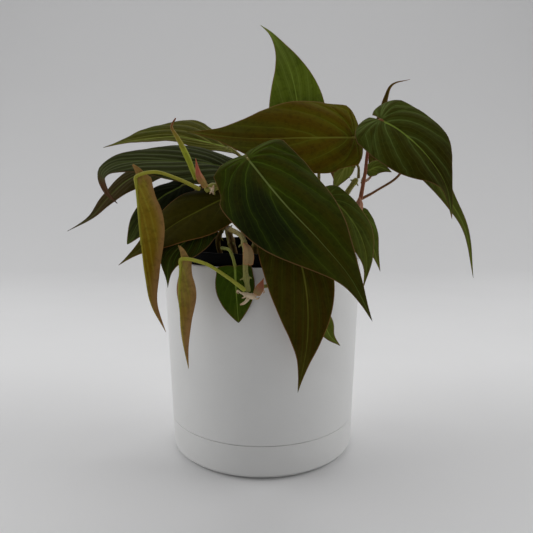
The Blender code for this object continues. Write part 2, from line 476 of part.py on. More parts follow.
def soil_top(x, y):
    """Loosely heaped potting mix: a low mound with clods."""
    h = SOIL_Z - 1.2 * (math.hypot(x, y) / 50) ** 2
    return h + .9 * math.sin(x * .31 + 1.7) * math.cos(y * .27 - .6) + .5 * math.sin(x * .71 - y * .55)


def potting_mix():
    sides, radii = 32, (12, 24, 35, 44, 50.4)
    verts = [(0, 0, soil_top(0, 0))]
    for r in radii:
        for k in range(sides):
            a = 2 * math.pi * (k + .5 * (radii.index(r) % 2)) / sides
            x, y = r * math.cos(a), r * math.sin(a)
            verts.append((x, y, soil_top(x, y)))
    faces = [(0, 1 + k, 1 + (k + 1) % sides) for k in range(sides)]
    for m in range(len(radii) - 1):
        a, b_ = 1 + m * sides, 1 + (m + 1) * sides
        for k in range(sides):
            n = (k + 1) % sides
            faces.append((a + k, b_ + k, b_ + n, a + n))
    a = 1 + (len(radii) - 1) * sides
    b_ = len(verts)
    for k in range(sides):
        ang = 2 * math.pi * (k + .5 * ((len(radii) - 1) % 2)) / sides
        verts.append((43.5 * math.cos(ang), 43.5 * math.sin(ang), 9.4))
    for k in range(sides):
        n = (k + 1) % sides
        faces.append((a + k, b_ + k, b_ + n, a + n))
    faces.append(tuple(b_ + k for k in range(sides))[::-1])
    add('potting_mix', verts, faces)


potting_mix()
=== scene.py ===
"""Looks for the potted heart-leaf philodendron: fine leaves, stems, planter
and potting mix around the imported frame.  The tables are in millimetres, the
planter's axis on x = y = 0, its underside on z = 0, -Y the front.
"""
import math

import bpy
import numpy as np
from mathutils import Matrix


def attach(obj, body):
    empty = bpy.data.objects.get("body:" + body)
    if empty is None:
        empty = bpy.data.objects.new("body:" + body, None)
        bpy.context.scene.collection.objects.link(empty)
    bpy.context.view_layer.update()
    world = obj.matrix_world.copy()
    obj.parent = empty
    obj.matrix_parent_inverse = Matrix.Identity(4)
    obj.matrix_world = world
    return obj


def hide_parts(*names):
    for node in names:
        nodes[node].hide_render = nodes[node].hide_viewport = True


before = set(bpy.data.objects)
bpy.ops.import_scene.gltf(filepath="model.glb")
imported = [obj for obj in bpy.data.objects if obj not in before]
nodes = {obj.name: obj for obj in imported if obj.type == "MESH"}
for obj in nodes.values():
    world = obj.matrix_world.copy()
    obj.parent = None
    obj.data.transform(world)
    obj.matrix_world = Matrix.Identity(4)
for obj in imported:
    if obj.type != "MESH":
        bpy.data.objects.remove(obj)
bpy.context.view_layer.update()
scene = bpy.context.scene
MM = 0.001

# planter
RIM_R, RIM_Z = 58.0, 114.0
SEAM_R, SEAM_Z = 54.8, 19.0
FOOT_R = 54.2
WALL = 2.8
SOIL_Z = 106.0


def lin(c, gain=1.0):
    """8-bit display colour to linear, scaled by gain."""
    return tuple(min(1.0, gain * ((v / 255) / 12.92 if v / 255 <= .04045 else ((v / 255 + .055) / 1.055) ** 2.4)) for v in c)


# --------------------------------------------------------------------------
# mesh helpers
# --------------------------------------------------------------------------
def add_mesh(name, verts, faces, mats=(), face_mat=None, attrs=None, sharp=None):
    me = bpy.data.meshes.new(name)
    v = np.asarray(verts, np.float64) * MM
    me.from_pydata(v.tolist(), [], [tuple(int(i) for i in f) for f in faces])
    for m in mats:
        me.materials.append(m)
    if face_mat is not None:
        me.polygons.foreach_set('material_index', np.asarray(face_mat, np.int32))
    for key, vals in (attrs or {}).items():
        at = me.attributes.new(key, 'FLOAT', 'POINT')
        at.data.foreach_set('value', np.asarray(vals, np.float32))
    me.shade_smooth()
    if sharp:
        me.set_sharp_from_angle(angle=math.radians(sharp))
    ob = bpy.data.objects.new(name, me)
    scene.collection.objects.link(ob)
    return ob


def place(ob, node):
    """The piece stands for one CAD node, which it hides."""
    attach(ob, "root")
    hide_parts(node)
    return ob


class Build:
    """Collects closed shells of one object with their attributes."""
    KEYS = ('vc', 'pit', 'dm', 'de', 'al', 'un', 'ac')

    def __init__(self):
        self.v, self.f, self.m, self.n = [], [], [], 0
        self.a = {k: [] for k in self.KEYS}

    def put(self, verts, faces, mat=0, **attrs):
        verts = np.asarray(verts, float)
        self.v.append(verts)
        self.f += [tuple(int(i) + self.n for i in f) for f in faces]
        self.m += [mat] * len(faces)
        for k in self.KEYS:
            val = attrs.get(k, 0.0)
            self.a[k].append(np.broadcast_to(np.asarray(val, float), (len(verts),)))
        self.n += len(verts)

    def make(self, name, mats, sharp=None):
        return add_mesh(name, np.vstack(self.v), self.f, mats, self.m,
                        {k: np.concatenate(a) for k, a in self.a.items()}, sharp)


def rounded(corners, n=5):
    """Profile with each (r, z, radius) corner rounded."""
    out = []
    for i, c in enumerate(corners):
        if len(c) == 2 or i in (0, len(corners) - 1):
            out.append((c[0], c[1]))
            continue
        p = np.array(c[:2], float)
        a = np.array(corners[i - 1][:2], float) - p
        b = np.array(corners[i + 1][:2], float) - p
        la, lb = np.linalg.norm(a), np.linalg.norm(b)
        a, b = a / la, b / lb
        ang = math.acos(np.clip(a @ b, -1, 1))
        d = min(c[2] / math.tan(ang / 2), la * .49, lb * .49)
        for k in range(n + 1):
            t = k / n
            out.append(tuple((1 - t)**2 * (p + a * d) + 2 * t * (1 - t) * p + t**2 * (p + b * d)))
    return out


def turned(profile, sides):
    verts, faces, rings = [], [], []
    for r, z in profile:
        if r < 1e-6:
            rings.append([len(verts)])
            verts.append((0, 0, z))
        else:
            rings.append(list(range(len(verts), len(verts) + sides)))
            verts += [(r * math.cos(2 * math.pi * k / sides), r * math.sin(2 * math.pi * k / sides), z) for k in range(sides)]
    for a, b in zip(rings[:-1], rings[1:]):
        for k in range(sides):
            n = (k + 1) % sides
            if len(a) == 1:
                faces.append((a[0], b[n], b[k]))
            elif len(b) == 1:
                faces.append((a[k], a[n], b[0]))
            else:
                faces.append((a[k], a[n], b[n], b[k]))
    return verts, faces


def hsh(*k):
    """Repeatable number in 0..1 from the given numbers."""
    x = math.sin(sum((i + 1) * 12.9898 * float(v) for i, v in enumerate(k)) + 4.1) * 43758.5453
    return x - math.floor(x)


def ripple(p, seed, wave):
    """Smooth repeatable variation of the points p, about -1..1."""
    out = np.zeros(len(p))
    for k in range(5):
        d = np.array([hsh(seed, k, 1) - .5, hsh(seed, k, 2) - .5, hsh(seed, k, 3) - .5])
        d /= np.linalg.norm(d) + 1e-9
        out += np.sin((p @ d) * 2 * math.pi / (wave * (.6 + .8 * hsh(seed, k, 4))) + 6.28 * hsh(seed, k, 5))
    return out / 3.0


# --------------------------------------------------------------------------
# curves and leaf blades
# --------------------------------------------------------------------------
def spline(points, n):
    """Smooth curve through the points, n evenly spaced samples."""
    p = np.asarray(points, float)
    if len(p) == 2:
        return p[0] + (p[1] - p[0]) * np.linspace(0, 1, n)[:, None]
    p = np.vstack([2 * p[0] - p[1], p, 2 * p[-1] - p[-2]])
    out = []
    for i in range(1, len(p) - 2):
        p0, p1, p2, p3 = p[i - 1:i + 3]
        t0 = 0.0
        t1 = t0 + np.linalg.norm(p1 - p0) ** .5
        t2 = t1 + np.linalg.norm(p2 - p1) ** .5
        t3 = t2 + np.linalg.norm(p3 - p2) ** .5
        t = np.linspace(t1, t2, 25)[:, None]
        a1 = (t1 - t) / (t1 - t0) * p0 + (t - t0) / (t1 - t0) * p1
        a2 = (t2 - t) / (t2 - t1) * p1 + (t - t1) / (t2 - t1) * p2
        a3 = (t3 - t) / (t3 - t2) * p2 + (t - t2) / (t3 - t2) * p3
        b1 = (t2 - t) / (t2 - t0) * a1 + (t - t0) / (t2 - t0) * a2
        b2 = (t3 - t) / (t3 - t1) * a2 + (t - t1) / (t3 - t1) * a3
        c = (t2 - t) / (t2 - t1) * b1 + (t - t1) / (t2 - t1) * b2
        out.append(c if i == len(p) - 3 else c[:-1])
    q = np.vstack(out)
    d = np.concatenate([[0], np.cumsum(np.linalg.norm(np.diff(q, axis=0), axis=1))])
    x = np.linspace(0, d[-1], n)
    return np.stack([np.interp(x, d, q[:, k]) for k in range(3)], -1)


# leaf outlines: (s, u, v) along the margin from the notch to the tip;
# u in blade lengths (negative: lobe lengths behind the stalk), v in half widths
OUTLINES = {
    'heart': [(0, -.80, .06), (.06, -.98, .24), (.13, -.95, .48), (.21, -.52, .76), (.29, .04, .94), (.38, .16, 1.0),
              (.47, .28, .985), (.57, .42, .90), (.67, .56, .70), (.77, .69, .43), (.86, .81, .19), (.93, .91, .07), (1, 1, 0)],
    'round': [(0, -.80, .06), (.06, -.98, .24), (.13, -.95, .48), (.21, -.50, .76), (.29, .05, .93), (.38, .17, 1.0),
              (.47, .30, 1.0), (.57, .44, .88), (.67, .56, .63), (.77, .66, .34), (.86, .77, .14), (.93, .89, .065), (1, 1, 0)],
    'ribbon': [(0, -.80, .06), (.06, -.98, .24), (.13, -.95, .48), (.21, -.52, .76), (.29, .04, .94), (.38, .16, 1.0),
               (.47, .27, .99), (.57, .39, .91), (.67, .51, .72), (.77, .63, .50), (.86, .75, .36), (.93, .87, .27), (1, 1, 0)],
    'drip': [(0, -.80, .06), (.06, -.98, .24), (.13, -.95, .48), (.21, -.52, .76), (.29, .04, .94), (.38, .12, 1.0),
             (.47, .21, .95), (.57, .33, .77), (.67, .45, .52), (.77, .58, .32), (.86, .73, .18), (.93, .87, .09), (1, 1, 0)],
    'lance': [(0, -.70, .10), (.06, -1.0, .30), (.13, -.80, .60), (.21, -.25, .80), (.29, .07, .90), (.38, .19, .98),
              (.47, .31, 1.0), (.57, .45, .90), (.67, .58, .68), (.77, .71, .42), (.86, .83, .22), (.93, .92, .10), (1, 1, 0)],
    'oval': [(0, -.70, .08), (.06, -1.0, .28), (.13, -.90, .55), (.21, -.35, .80), (.29, .08, .92), (.38, .22, .99),
             (.47, .36, 1.0), (.57, .51, .93), (.67, .66, .75), (.77, .79, .52), (.86, .89, .30), (.93, .96, .13), (1, 1, 0)],
}


def outline(kind, s):
    tab = np.array(OUTLINES[kind])

    def smooth(ys):
        xs = tab[:, 0]
        m = np.gradient(ys, xs)
        i = np.clip(np.searchsorted(xs, s, side='right') - 1, 0, len(xs) - 2)
        h = xs[i + 1] - xs[i]
        t = (s - xs[i]) / h
        return ((2 * t**3 - 3 * t**2 + 1) * ys[i] + (t**3 - 2 * t**2 + t) * h * m[i]
                + (-2 * t**3 + 3 * t**2) * ys[i + 1] + (t**3 - t**2) * h * m[i + 1])
    v = np.maximum(smooth(tab[:, 2]), 0)
    v[s >= 1] = 0
    return smooth(tab[:, 1]), v


def blade_frame(mid, face, n=81):
    """Midrib samples with tangent, upper-side normal and left direction."""
    c = spline(mid, n)
    t = np.gradient(c, axis=0)
    t /= np.linalg.norm(t, axis=1)[:, None]
    h = np.asarray(face, float)
    h /= np.linalg.norm(h, axis=1)[:, None]
    xs = np.linspace(0, 1, len(h))
    nn = np.stack([np.interp(np.linspace(0, 1, n), xs, h[:, k]) for k in range(3)], -1)
    for _ in range(13):
        nn -= (nn * t).sum(1)[:, None] * t
        nn /= np.linalg.norm(nn, axis=1)[:, None]
        nn[1:-1] = (nn[:-2] + 2 * nn[1:-1] + nn[2:]) / 4
    nn -= (nn * t).sum(1)[:, None] * t
    nn /= np.linalg.norm(nn, axis=1)[:, None]
    return c, t, nn, np.cross(nn, t)


def blade_points(leaf, rows, cols):
    """Middle surface of a blade, indexed [side][row][col]; side 0 is the
    left of the midrib, col 0 the midrib and col -1 the margin."""
    c, t, nn, b = blade_frame(leaf['mid'], leaf['face'])
    n = len(c)
    length = np.linalg.norm(np.diff(c, axis=0), axis=1).sum()
    s, w = np.asarray(rows, float), np.asarray(cols, float)[None, :]
    um, vm = outline(leaf.get('kind', 'heart'), s)
    um = np.where(um < 0, um * leaf.get('lobe', .10), um)
    um[-1] = 1.0
    r = np.where(s > .30, ((np.clip(s, .3, 1) - .30) / .70) ** 2.2, 0.)
    r = np.minimum(r, np.where(um > 0, um * .985, 0))
    r[-1] = 1.0
    qu, qv = r + (um - r) * .30, vm * .66
    u = (1 - w)**2 * r[:, None] + 2 * w * (1 - w) * qu[:, None] + w**2 * um[:, None]
    v = 2 * w * (1 - w) * qv[:, None] + w**2 * vm[:, None]
    out = []
    flat = v
    for side, half, key in ((1, leaf['half'][0], 'fold_left'), (-1, leaf['half'][1], 'fold_right')):
        e = np.clip(s / .42, 0, 1)[:, None]
        v = flat * (1 - leaf.get('shoulder', (0, 0))[side < 0] * (1 - e * e * (3 - 2 * e)))
        f0, f1 = [math.radians(a) for a in leaf.get(key, leaf.get('fold', (12, -20)))]
        q = np.linspace(0, 1.15, 60)
        ph = f0 + (f1 - f0) * q
        dq = np.diff(q)
        x = np.interp(v, q, np.concatenate([[0], np.cumsum((np.cos(ph[1:]) + np.cos(ph[:-1])) / 2 * dq)])) * half
        z = np.interp(v, q, np.concatenate([[0], np.cumsum((np.sin(ph[1:]) + np.sin(ph[:-1])) / 2 * dq)])) * half
        z = z + leaf.get('wave', .8) * np.clip(v, 0, 1)**2 * np.clip((1 - u) * 3, 0, 1) * np.sin(
            2 * math.pi * (2.1 * u + leaf.get('phase', .2) + (.37 if side < 0 else 0)))
        ui = np.clip(u, 0, 1) * (n - 1)
        i0 = np.clip(ui.astype(int), 0, n - 2)
        fr = (ui - i0)[..., None]
        at = [a[i0] * (1 - fr) + a[i0 + 1] * fr for a in (c, nn, b)]
        back = np.clip(-u, 0, None) * length
        th = math.radians(leaf.get('droop', 20)) * np.clip(-u / leaf.get('lobe', .10), 0, 1)
        base = at[0] - t[0] * (back * np.cos(th))[..., None] - nn[0] * (back * np.sin(th))[..., None]
        out.append(base + at[2] * (side * x)[..., None] + at[1] * z[..., None])
    return np.array(out)


# --------------------------------------------------------------------------
# leaves: midrib points from the stalk joint to the drip tip, directions the
# upper side faces along the midrib, half widths (left, right), stalk path
# --------------------------------------------------------------------------
LEAVES = {
    # crown, front
    'leaf_front_large': dict(mid=[(-7, -44, 168), (11, -62, 146), (28, -76, 128), (41, -84, 112), (50, -86, 94)],
                             face=[(-.15, -.70, .70), (.05, -.9, .42), (.25, -.95, .25)], half=(23.5, 26.5), shoulder=(0, .7), lobe=.085,
                             droop=35, fold=(12, -18), stalk=[(-4, -15, 143), (-6, -27, 158), (-7, -42, 167)]),
    'leaf_top_bronze': dict(mid=[(52, -9, 182), (21, -18, 181), (-6, -24, 180), (-40, -30, 183)],
                            face=[(0, -.93, .37), (0, -.93, .37), (0, -.85, .5)], half=(20.5, 25), shoulder=(.45, .14), lobe=.06,
                            droop=25, fold=(10, -24), stalk=[(54, 2, 166), (54, 0, 176), (53, -7, 181)]),
    'leaf_upright': dict(mid=[(22, 8, 170), (21, 10, 203), (15, 14, 228), (6, 10, 242), (-1, 6, 247)],
                         face=[(0, -.98, .2), (-.1, -.98, .2), (-.2, -.8, .5)], half=(18.5, 17), lobe=.10,
                         fold=(14, -14), stalk=[(1, -1, 150), (12, 4, 157), (21, 8, 168)]),
    # crown, right
    'leaf_right_heart': dict(mid=[(66, -15, 191), (77, -22, 183), (89, -28, 170), (99, -30, 154), (103, -29, 137)],
                             face=[(0, -.85, .5), (.1, -.9, .4), (.3, -.95, .1)], half=(20.5, 22.5), lobe=.13, kind='round',
                             fold=(12, -20), stalk=[(57, -7, 148), (59, -8, 162), (61, -8, 178), (66, -13, 190)]),
    'leaf_right_hanging': dict(mid=[(78, 4, 189), (91, 2, 175), (101, 0, 161), (111, -3, 145), (119.5, -5, 129), (125, -6, 101)],
                               face=[(.2, -.9, .35), (.3, -.95, .1), (.4, -.9, 0)], half=(11, 11), lobe=.10, kind='drip', stalk_r=.72,
                               fold=(12, -20), stalk=[(58, 1, 147), (68, 5, 152), (83, 7, 163), (82, 7, 176), (80, 5, 187)]),
    'leaf_right_up': dict(mid=[(71, 20, 168), (72, 18, 190), (75, 16, 208), (78, 14, 215), (88, 12, 218)],
                          face=[(.1, -.98, .1), (-.1, -.98, .1), (-.3, -.5, .8)], half=(6.8, 6.8), lobe=.08, kind='drip',
                          fold=(30, 10), stalk=[(60, 7, 157), (66, 15, 160), (71, 20, 166)]),
    # crown, left
    'leaf_left_upper': dict(mid=[(-20, 11, 178), (-33, 7, 181), (-49, 5, 184), (-66, 3, 183), (-83, 2, 180), (-93, 1, 177)],
                            face=[(0, -.5, .86), (0, -.5, .86), (0, -.5, .85)], half=(9, 26), lobe=.09,
                            fold=(8, -12), stalk=[(-7, -1, 160), (-11, 5, 170), (-19, 11, 177)]),
    'leaf_left_middle': dict(mid=[(-14, -17, 163), (-29, -22, 167), (-47, -26, 168), (-68, -27, 168), (-82, -26, 165),
                                  (-87, -24, 160), (-85, -23, 151), (-80, -22, 145)],
                             face=[(0, -.55, .83), (0, -.6, .8), (0, -.6, .8), (-.6, -.6, .5), (-.9, -.4, .1)],
                             half=(18, 17.5), lobe=.08, kind='ribbon', fold=(10, -18), stalk=[(-9, -10, 151), (-10, -13, 157), (-13, -16, 162)]),
    'leaf_left_back': dict(mid=[(-60, 28, 168), (-84, 26, 160), (-98, 24, 148), (-108, 20, 136), (-122, 16, 127)],
                           face=[(-.1, -.55, .83), (-.2, -.6, .75), (-.5, -.6, .6)], half=(12.5, 10), lobe=.09,
                           fold=(12, -20), stalk=[(-27, 24, 150), (-38, 24, 162), (-58, 27, 168)]),
    'leaf_left_bronze': dict(mid=[(-18, -33, 149), (-30, -41, 143), (-43, -45, 136), (-56, -47, 127), (-74, -46, 114)],
                             face=[(-.15, -.72, .65), (-.3, -.75, .6), (-.4, -.75, .55)], half=(17, 17), lobe=.10,
                             fold=(12, -20), stalk=[(-16, -28, 142), (-17, -30, 145), (-18, -32, 148)]),
    'leaf_left_dark': dict(mid=[(-44, -19, 155), (-56, -23, 148), (-66, -26, 137), (-74, -27, 123)],
                           face=[(-.2, -.8, .6), (-.3, -.9, .3), (-.2, -1, .1)], half=(12, 8), lobe=.10, kind='oval',
                           fold=(10, -18), stalk=[(-27, -20, 132), (-33, -14, 147), (-43, -17, 155)]),
    # young folded leaves hanging at the left
    'leaf_young_left': dict(mid=[(-60, -59, 158), (-59, -61, 145), (-58, -62, 128), (-56.5, -62, 111), (-54.5, -61, 97), (-48, -59, 82)],
                            face=[(.62, .78, .1), (.62, .78, 0), (.5, .85, .1)], half=(10.5, 10.8), shoulder=(.3, .9), lobe=.09, kind='lance', stalk_r=.82,
                            fold=(50, 42), fold_left=(44, 36),
                            stalk=[(-31, -51, 153), (-41, -57, 158), (-51, -61, 161), (-59, -59, 159)]),
    'leaf_young_front': dict(mid=[(-38, -67, 119), (-39, -68, 106), (-39, -68, 93), (-38, -67, 79), (-36, -65, 65)],
                             face=[(.62, .78, .1), (.62, .78, 0), (.5, .85, .1)], half=(7, 7.3), shoulder=(.3, .85), lobe=.14, kind='lance', stalk_r=.8,
                             fold=(50, 42), fold_left=(40, 30),
                             stalk=[(-8, -68, 105), (-17, -69, 112), (-27, -69, 118), (-37, -68, 119)]),
    # hanging over the front rim
    'leaf_small_front': dict(mid=[(-13, -60.3, 115), (-12.6, -60.8, 106), (-12, -60.8, 96), (-11.4, -60.3, 87)],
                             face=[(0, -.9, .4), (0, -1, .1), (0, -1, 0)], half=(9.2, 10), kind='oval', lobe=.03, stalk_r=.72,
                             fold=(4, -8), wave=.3, stalk=[(-20, -50, 123.4), (-15.5, -57.5, 122.6), (-13.4, -60.4, 118.5)]),
    'leaf_front_lower': dict(mid=[(13, -56, 137), (19, -66, 118), (22, -70, 100), (22, -69, 78), (18, -66, 53)],
                             face=[(0, -.9, .4), (0, -1, .1), (0, -1, 0)], half=(15, 19), lobe=.10,
                             fold=(14, -18), stalk=[(-2, -14, 132), (4, -32, 142), (12, -53, 138)]),
    'leaf_small_right': dict(mid=[(27, -63, 95), (31, -64, 87), (34, -64, 81), (39, -63, 76)],
                             face=[(.2, -.95, .2), (.2, -.95, .2)], half=(5, 5), kind='lance', lobe=.10,
                             fold=(14, -20), wave=.3, stalk=[(-1, -65, 106), (12, -61, 106), (26, -62, 97)]),
    'leaf_left_rim': dict(mid=[(-30, -42, 133), (-38, -49, 127), (-46, -53, 118), (-48, -50, 103)],
                          face=[(-.2, -.7, .7), (-.4, -.9, .2), (-.4, -.9, 0)], half=(11, 11), lobe=.10,
                          fold=(12, -20), wave=.5, stalk=[(-28, -20, 127), (-27, -31, 136), (-29, -40, 134)]),
    # hanging at the right
    'leaf_right_lower': dict(mid=[(36.5, -24, 149), (46, -27, 140), (53.5, -29, 128), (58, -26, 113), (57, -22, 97)],
                             face=[(.1, -.85, .5), (.3, -.9, .2), (.4, -.9, 0)], half=(9.5, 9.5), lobe=.10,
                             fold=(14, -18), stalk=[(38, -6, 134), (36, -12, 143), (36.5, -22, 148.5)]),
    'leaf_right_rim': dict(mid=[(58, -3, 139), (62, -4, 132), (66, -2, 119), (71, 0, 104)],
                           face=[(.4, -.85, .4), (.5, -.85, .1), (.5, -.85, 0)], half=(6.5, 6.5), kind='lance', lobe=.08,
                           fold=(14, -18), wave=.4, stalk=[(52, 1, 137), (55, 1, 140), (58, -1, 140)]),
    'leaf_cluster_a': dict(mid=[(52, 7, 170), (47, 3, 162), (41, -1, 151)], face=[(-.1, -.9, .4), (-.1, -.95, .2)],
                           half=(5.5, 5.5), kind='lance', lobe=.10, fold=(12, -20), wave=.3,
                           stalk=[(58, 8, 160), (58, 11, 167), (53, 8, 170)]),
    'leaf_cluster_b': dict(mid=[(63, 2, 164), (68, 0, 166), (76, -1, 163)], face=[(.1, -.8, .6), (.2, -.95, .2)],
                           half=(5, 5), kind='lance', lobe=.10, fold=(12, -20), wave=.3,
                           stalk=[(59, 0, 158), (61, 1, 162), (63, 2, 164)]),
    # back of the crown
    'leaf_back_upper': dict(mid=[(37, 33, 171), (44, 47, 180), (50, 64, 175), (54, 82, 154)],
                            face=[(.1, -.2, .95), (.1, .4, .9), (.1, .9, .4)], half=(16, 16), lobe=.09,
                            fold=(12, -20), stalk=[(36, 24, 142.5), (36, 28, 157), (37, 32, 170)]),
    'leaf_back_middle': dict(mid=[(-6, 27, 150), (-9, 42, 154), (-14, 59, 148), (-18, 71, 131)],
                             face=[(-.2, -.2, .95), (-.2, .4, .9), (-.2, .9, .4)], half=(11, 11), lobe=.09,
                             fold=(12, -20), stalk=[(-20, 23, 140), (-13, 22, 146), (-6, 26, 149)]),
    'leaf_back_arching': dict(mid=[(7, 30, 174), (8, 52, 176), (5, 76, 161), (1, 90, 131)],
                              face=[(0, -.1, 1), (0, .5, .9), (0, .95, .3)], half=(22, 16), lobe=.09,
                              fold=(10, -16), stalk=[(9, 31, 157), (8, 27, 166), (7, 29, 173)]),
    'leaf_back_left': dict(mid=[(-26, 40, 158), (-38, 56, 150), (-44, 72, 130), (-46, 78, 106)],
                           face=[(-.3, .2, .95), (-.3, .7, .6), (-.3, .95, .1)], half=(18, 18), lobe=.09,
                           fold=(12, -20), stalk=[(-23, 31, 142), (-24, 36, 152), (-26, 40, 157)]),
    'leaf_back_right': dict(mid=[(38, 38, 150), (46, 54, 144), (52, 68, 126), (53, 74, 102)],
                            face=[(.3, .2, .95), (.3, .7, .6), (.3, .95, .1)], half=(15, 15), lobe=.09,
                            fold=(12, -20), stalk=[(37, 28, 136), (38, 33, 146), (38, 37, 149)]),
    'leaf_back_rim': dict(mid=[(-2, 48, 131), (-3, 62, 124), (-4, 70, 108), (-4, 72, 88)],
                          face=[(0, .3, .95), (0, .8, .5), (0, 1, 0)], half=(13, 13), lobe=.10,
                          fold=(12, -20), stalk=[(5, 28, 122), (1, 36, 131), (-2, 46, 131)]),
    'leaf_back_rim_right': dict(mid=[(30, 48, 128), (35, 58, 122), (38, 66, 108), (39, 68, 88)],
                                face=[(.2, .3, .95), (.4, .8, .4), (.4, .9, 0)], half=(11, 11), lobe=.10,
                                fold=(12, -20), stalk=[(33, 28, 119), (30, 37, 127), (30, 46, 128)]),
    'leaf_back_rim_left': dict(mid=[(-41, 42, 130), (-52, 50, 124), (-60, 58, 110), (-62, 60, 92)],
                               face=[(-.3, .3, .9), (-.6, .7, .4), (-.7, .7, 0)], half=(12, 12), lobe=.10,
                               fold=(12, -20), stalk=[(-26, 24, 126), (-32, 34, 132), (-40, 41, 130)]),
}

# --------------------------------------------------------------------------
# vines, sheaths, unopened leaf, roots: path, radii
# --------------------------------------------------------------------------
RODS = {
    'vine_center': ([(-5, -4, 107.5), (-4, -8, 124), (-5, -8, 142), (-4, -4, 158)], (2.3, 2.0, 1.9, 1.4)),
    'vine_left': ([(-21, -8, 107.5), (-25, -17, 124), (-17, -25, 138), (-6, -34, 148), (-11, -43, 155), (-19, -46, 155), (-28, -47, 153)],
                  (1.6, 1.5, 1.5, 1.6, 2.2)),
    'vine_front': ([(-13, -16, 107.5), (-17.5, -30, 130), (-17.5, -40, 132.2), (-15, -50.3, 132.4), (-9.5, -58, 129.6), (-7.8, -63, 123), (-7.6, -65.2, 113), (-6.4, -65.2, 104)],
                   (1.6, 1.5, 1.35, 1.45)),
    'vine_right': ([(22, 2, 107.5), (36, -2, 124), (47, -3, 134), (53, -4, 143)], (2.0, 2.0, 1.9, 1.9)),
    'vine_right_upper': ([(28, 10, 107.5), (42, 4, 132), (50, 3, 150), (56, 3, 159)], (2.0, 2.0, 1.9, 1.6)),
    'vine_back': ([(8, 18, 107.5), (7, 26, 124), (10, 30, 138), (9, 33, 154)], (2.2, 2.0, 1.9, 1.5)),
    'vine_back_left': ([(-16, 16, 107.5), (-22, 24, 124), (-24, 27, 138), (-23, 26, 152)], (2.0, 1.9, 1.8, 1.5)),
    'vine_back_right': ([(26, 20, 107.5), (35, 24, 118), (37, 25, 128), (36, 24, 140)], (2.0, 1.9, 1.8, 1.5)),
    'new_leaf_spear': ([(-33, -47, 158), (-38, -45, 170), (-42, -45, 178), (-45, -45, 184), (-43, -45, 188)], (1.2, 1.45, 1.15, .6, .32)),
    'roots_left': ([(-24.5, -50.5, 152.5), (-24, -53, 153), (-23.5, -55, 154.5)], (.8, .6, .4)),
    'roots_front': ([(-6, -67, 101), (-8, -69, 99), (-10, -69, 98)], (.9, .7, .4)),
    'roots_right': ([(52, 5, 160), (49, 8, 165), (50, 13, 169), (53, 13, 166)], (.5, .4, .3)),
}
SHEATHS = {
    'sheath_left': dict(mid=[(-27.5, -51, 154.5), (-30.5, -51.5, 160), (-32.5, -51.5, 168)], face=[(-.5, .8, .1), (-.5, .8, .2)],
                        half=(2.5, 2.5), kind='lance', lobe=.05, fold=(42, 42), wave=0),
    'sheath_front': dict(mid=[(-6.2, -67.8, 117.5), (-6.0, -67.4, 121), (-6.6, -66.6, 125), (-8.6, -65.8, 127.5)], face=[(.1, -1, .3), (.1, -1, .3), (.1, -1, .3)],
                         half=(2.9, 2.9), kind='oval', lobe=.05, fold=(-20, -30), wave=0),
    'sheath_front_low': dict(mid=[(-2.5, -68.5, 103), (-.5, -69, 107), (1.2, -68.5, 111)], face=[(.3, .9, .1), (.3, .9, .2)],
                             half=(2.6, 2.6), kind='lance', lobe=.05, fold=(35, 35), wave=0),
    'sheath_right': dict(mid=[(54, -8, 137), (56, -9, 143), (56, -9, 149)], face=[(-.1, .95, .1), (-.1, .95, .1)],
                         half=(3.2, 3.2), kind='oval', lobe=.05, fold=(25, 25), wave=0),
}


# --------------------------------------------------------------------------
# fine leaves
# --------------------------------------------------------------------------
VEINS = (.08, .19, .32, .45, .58, .71, .83)


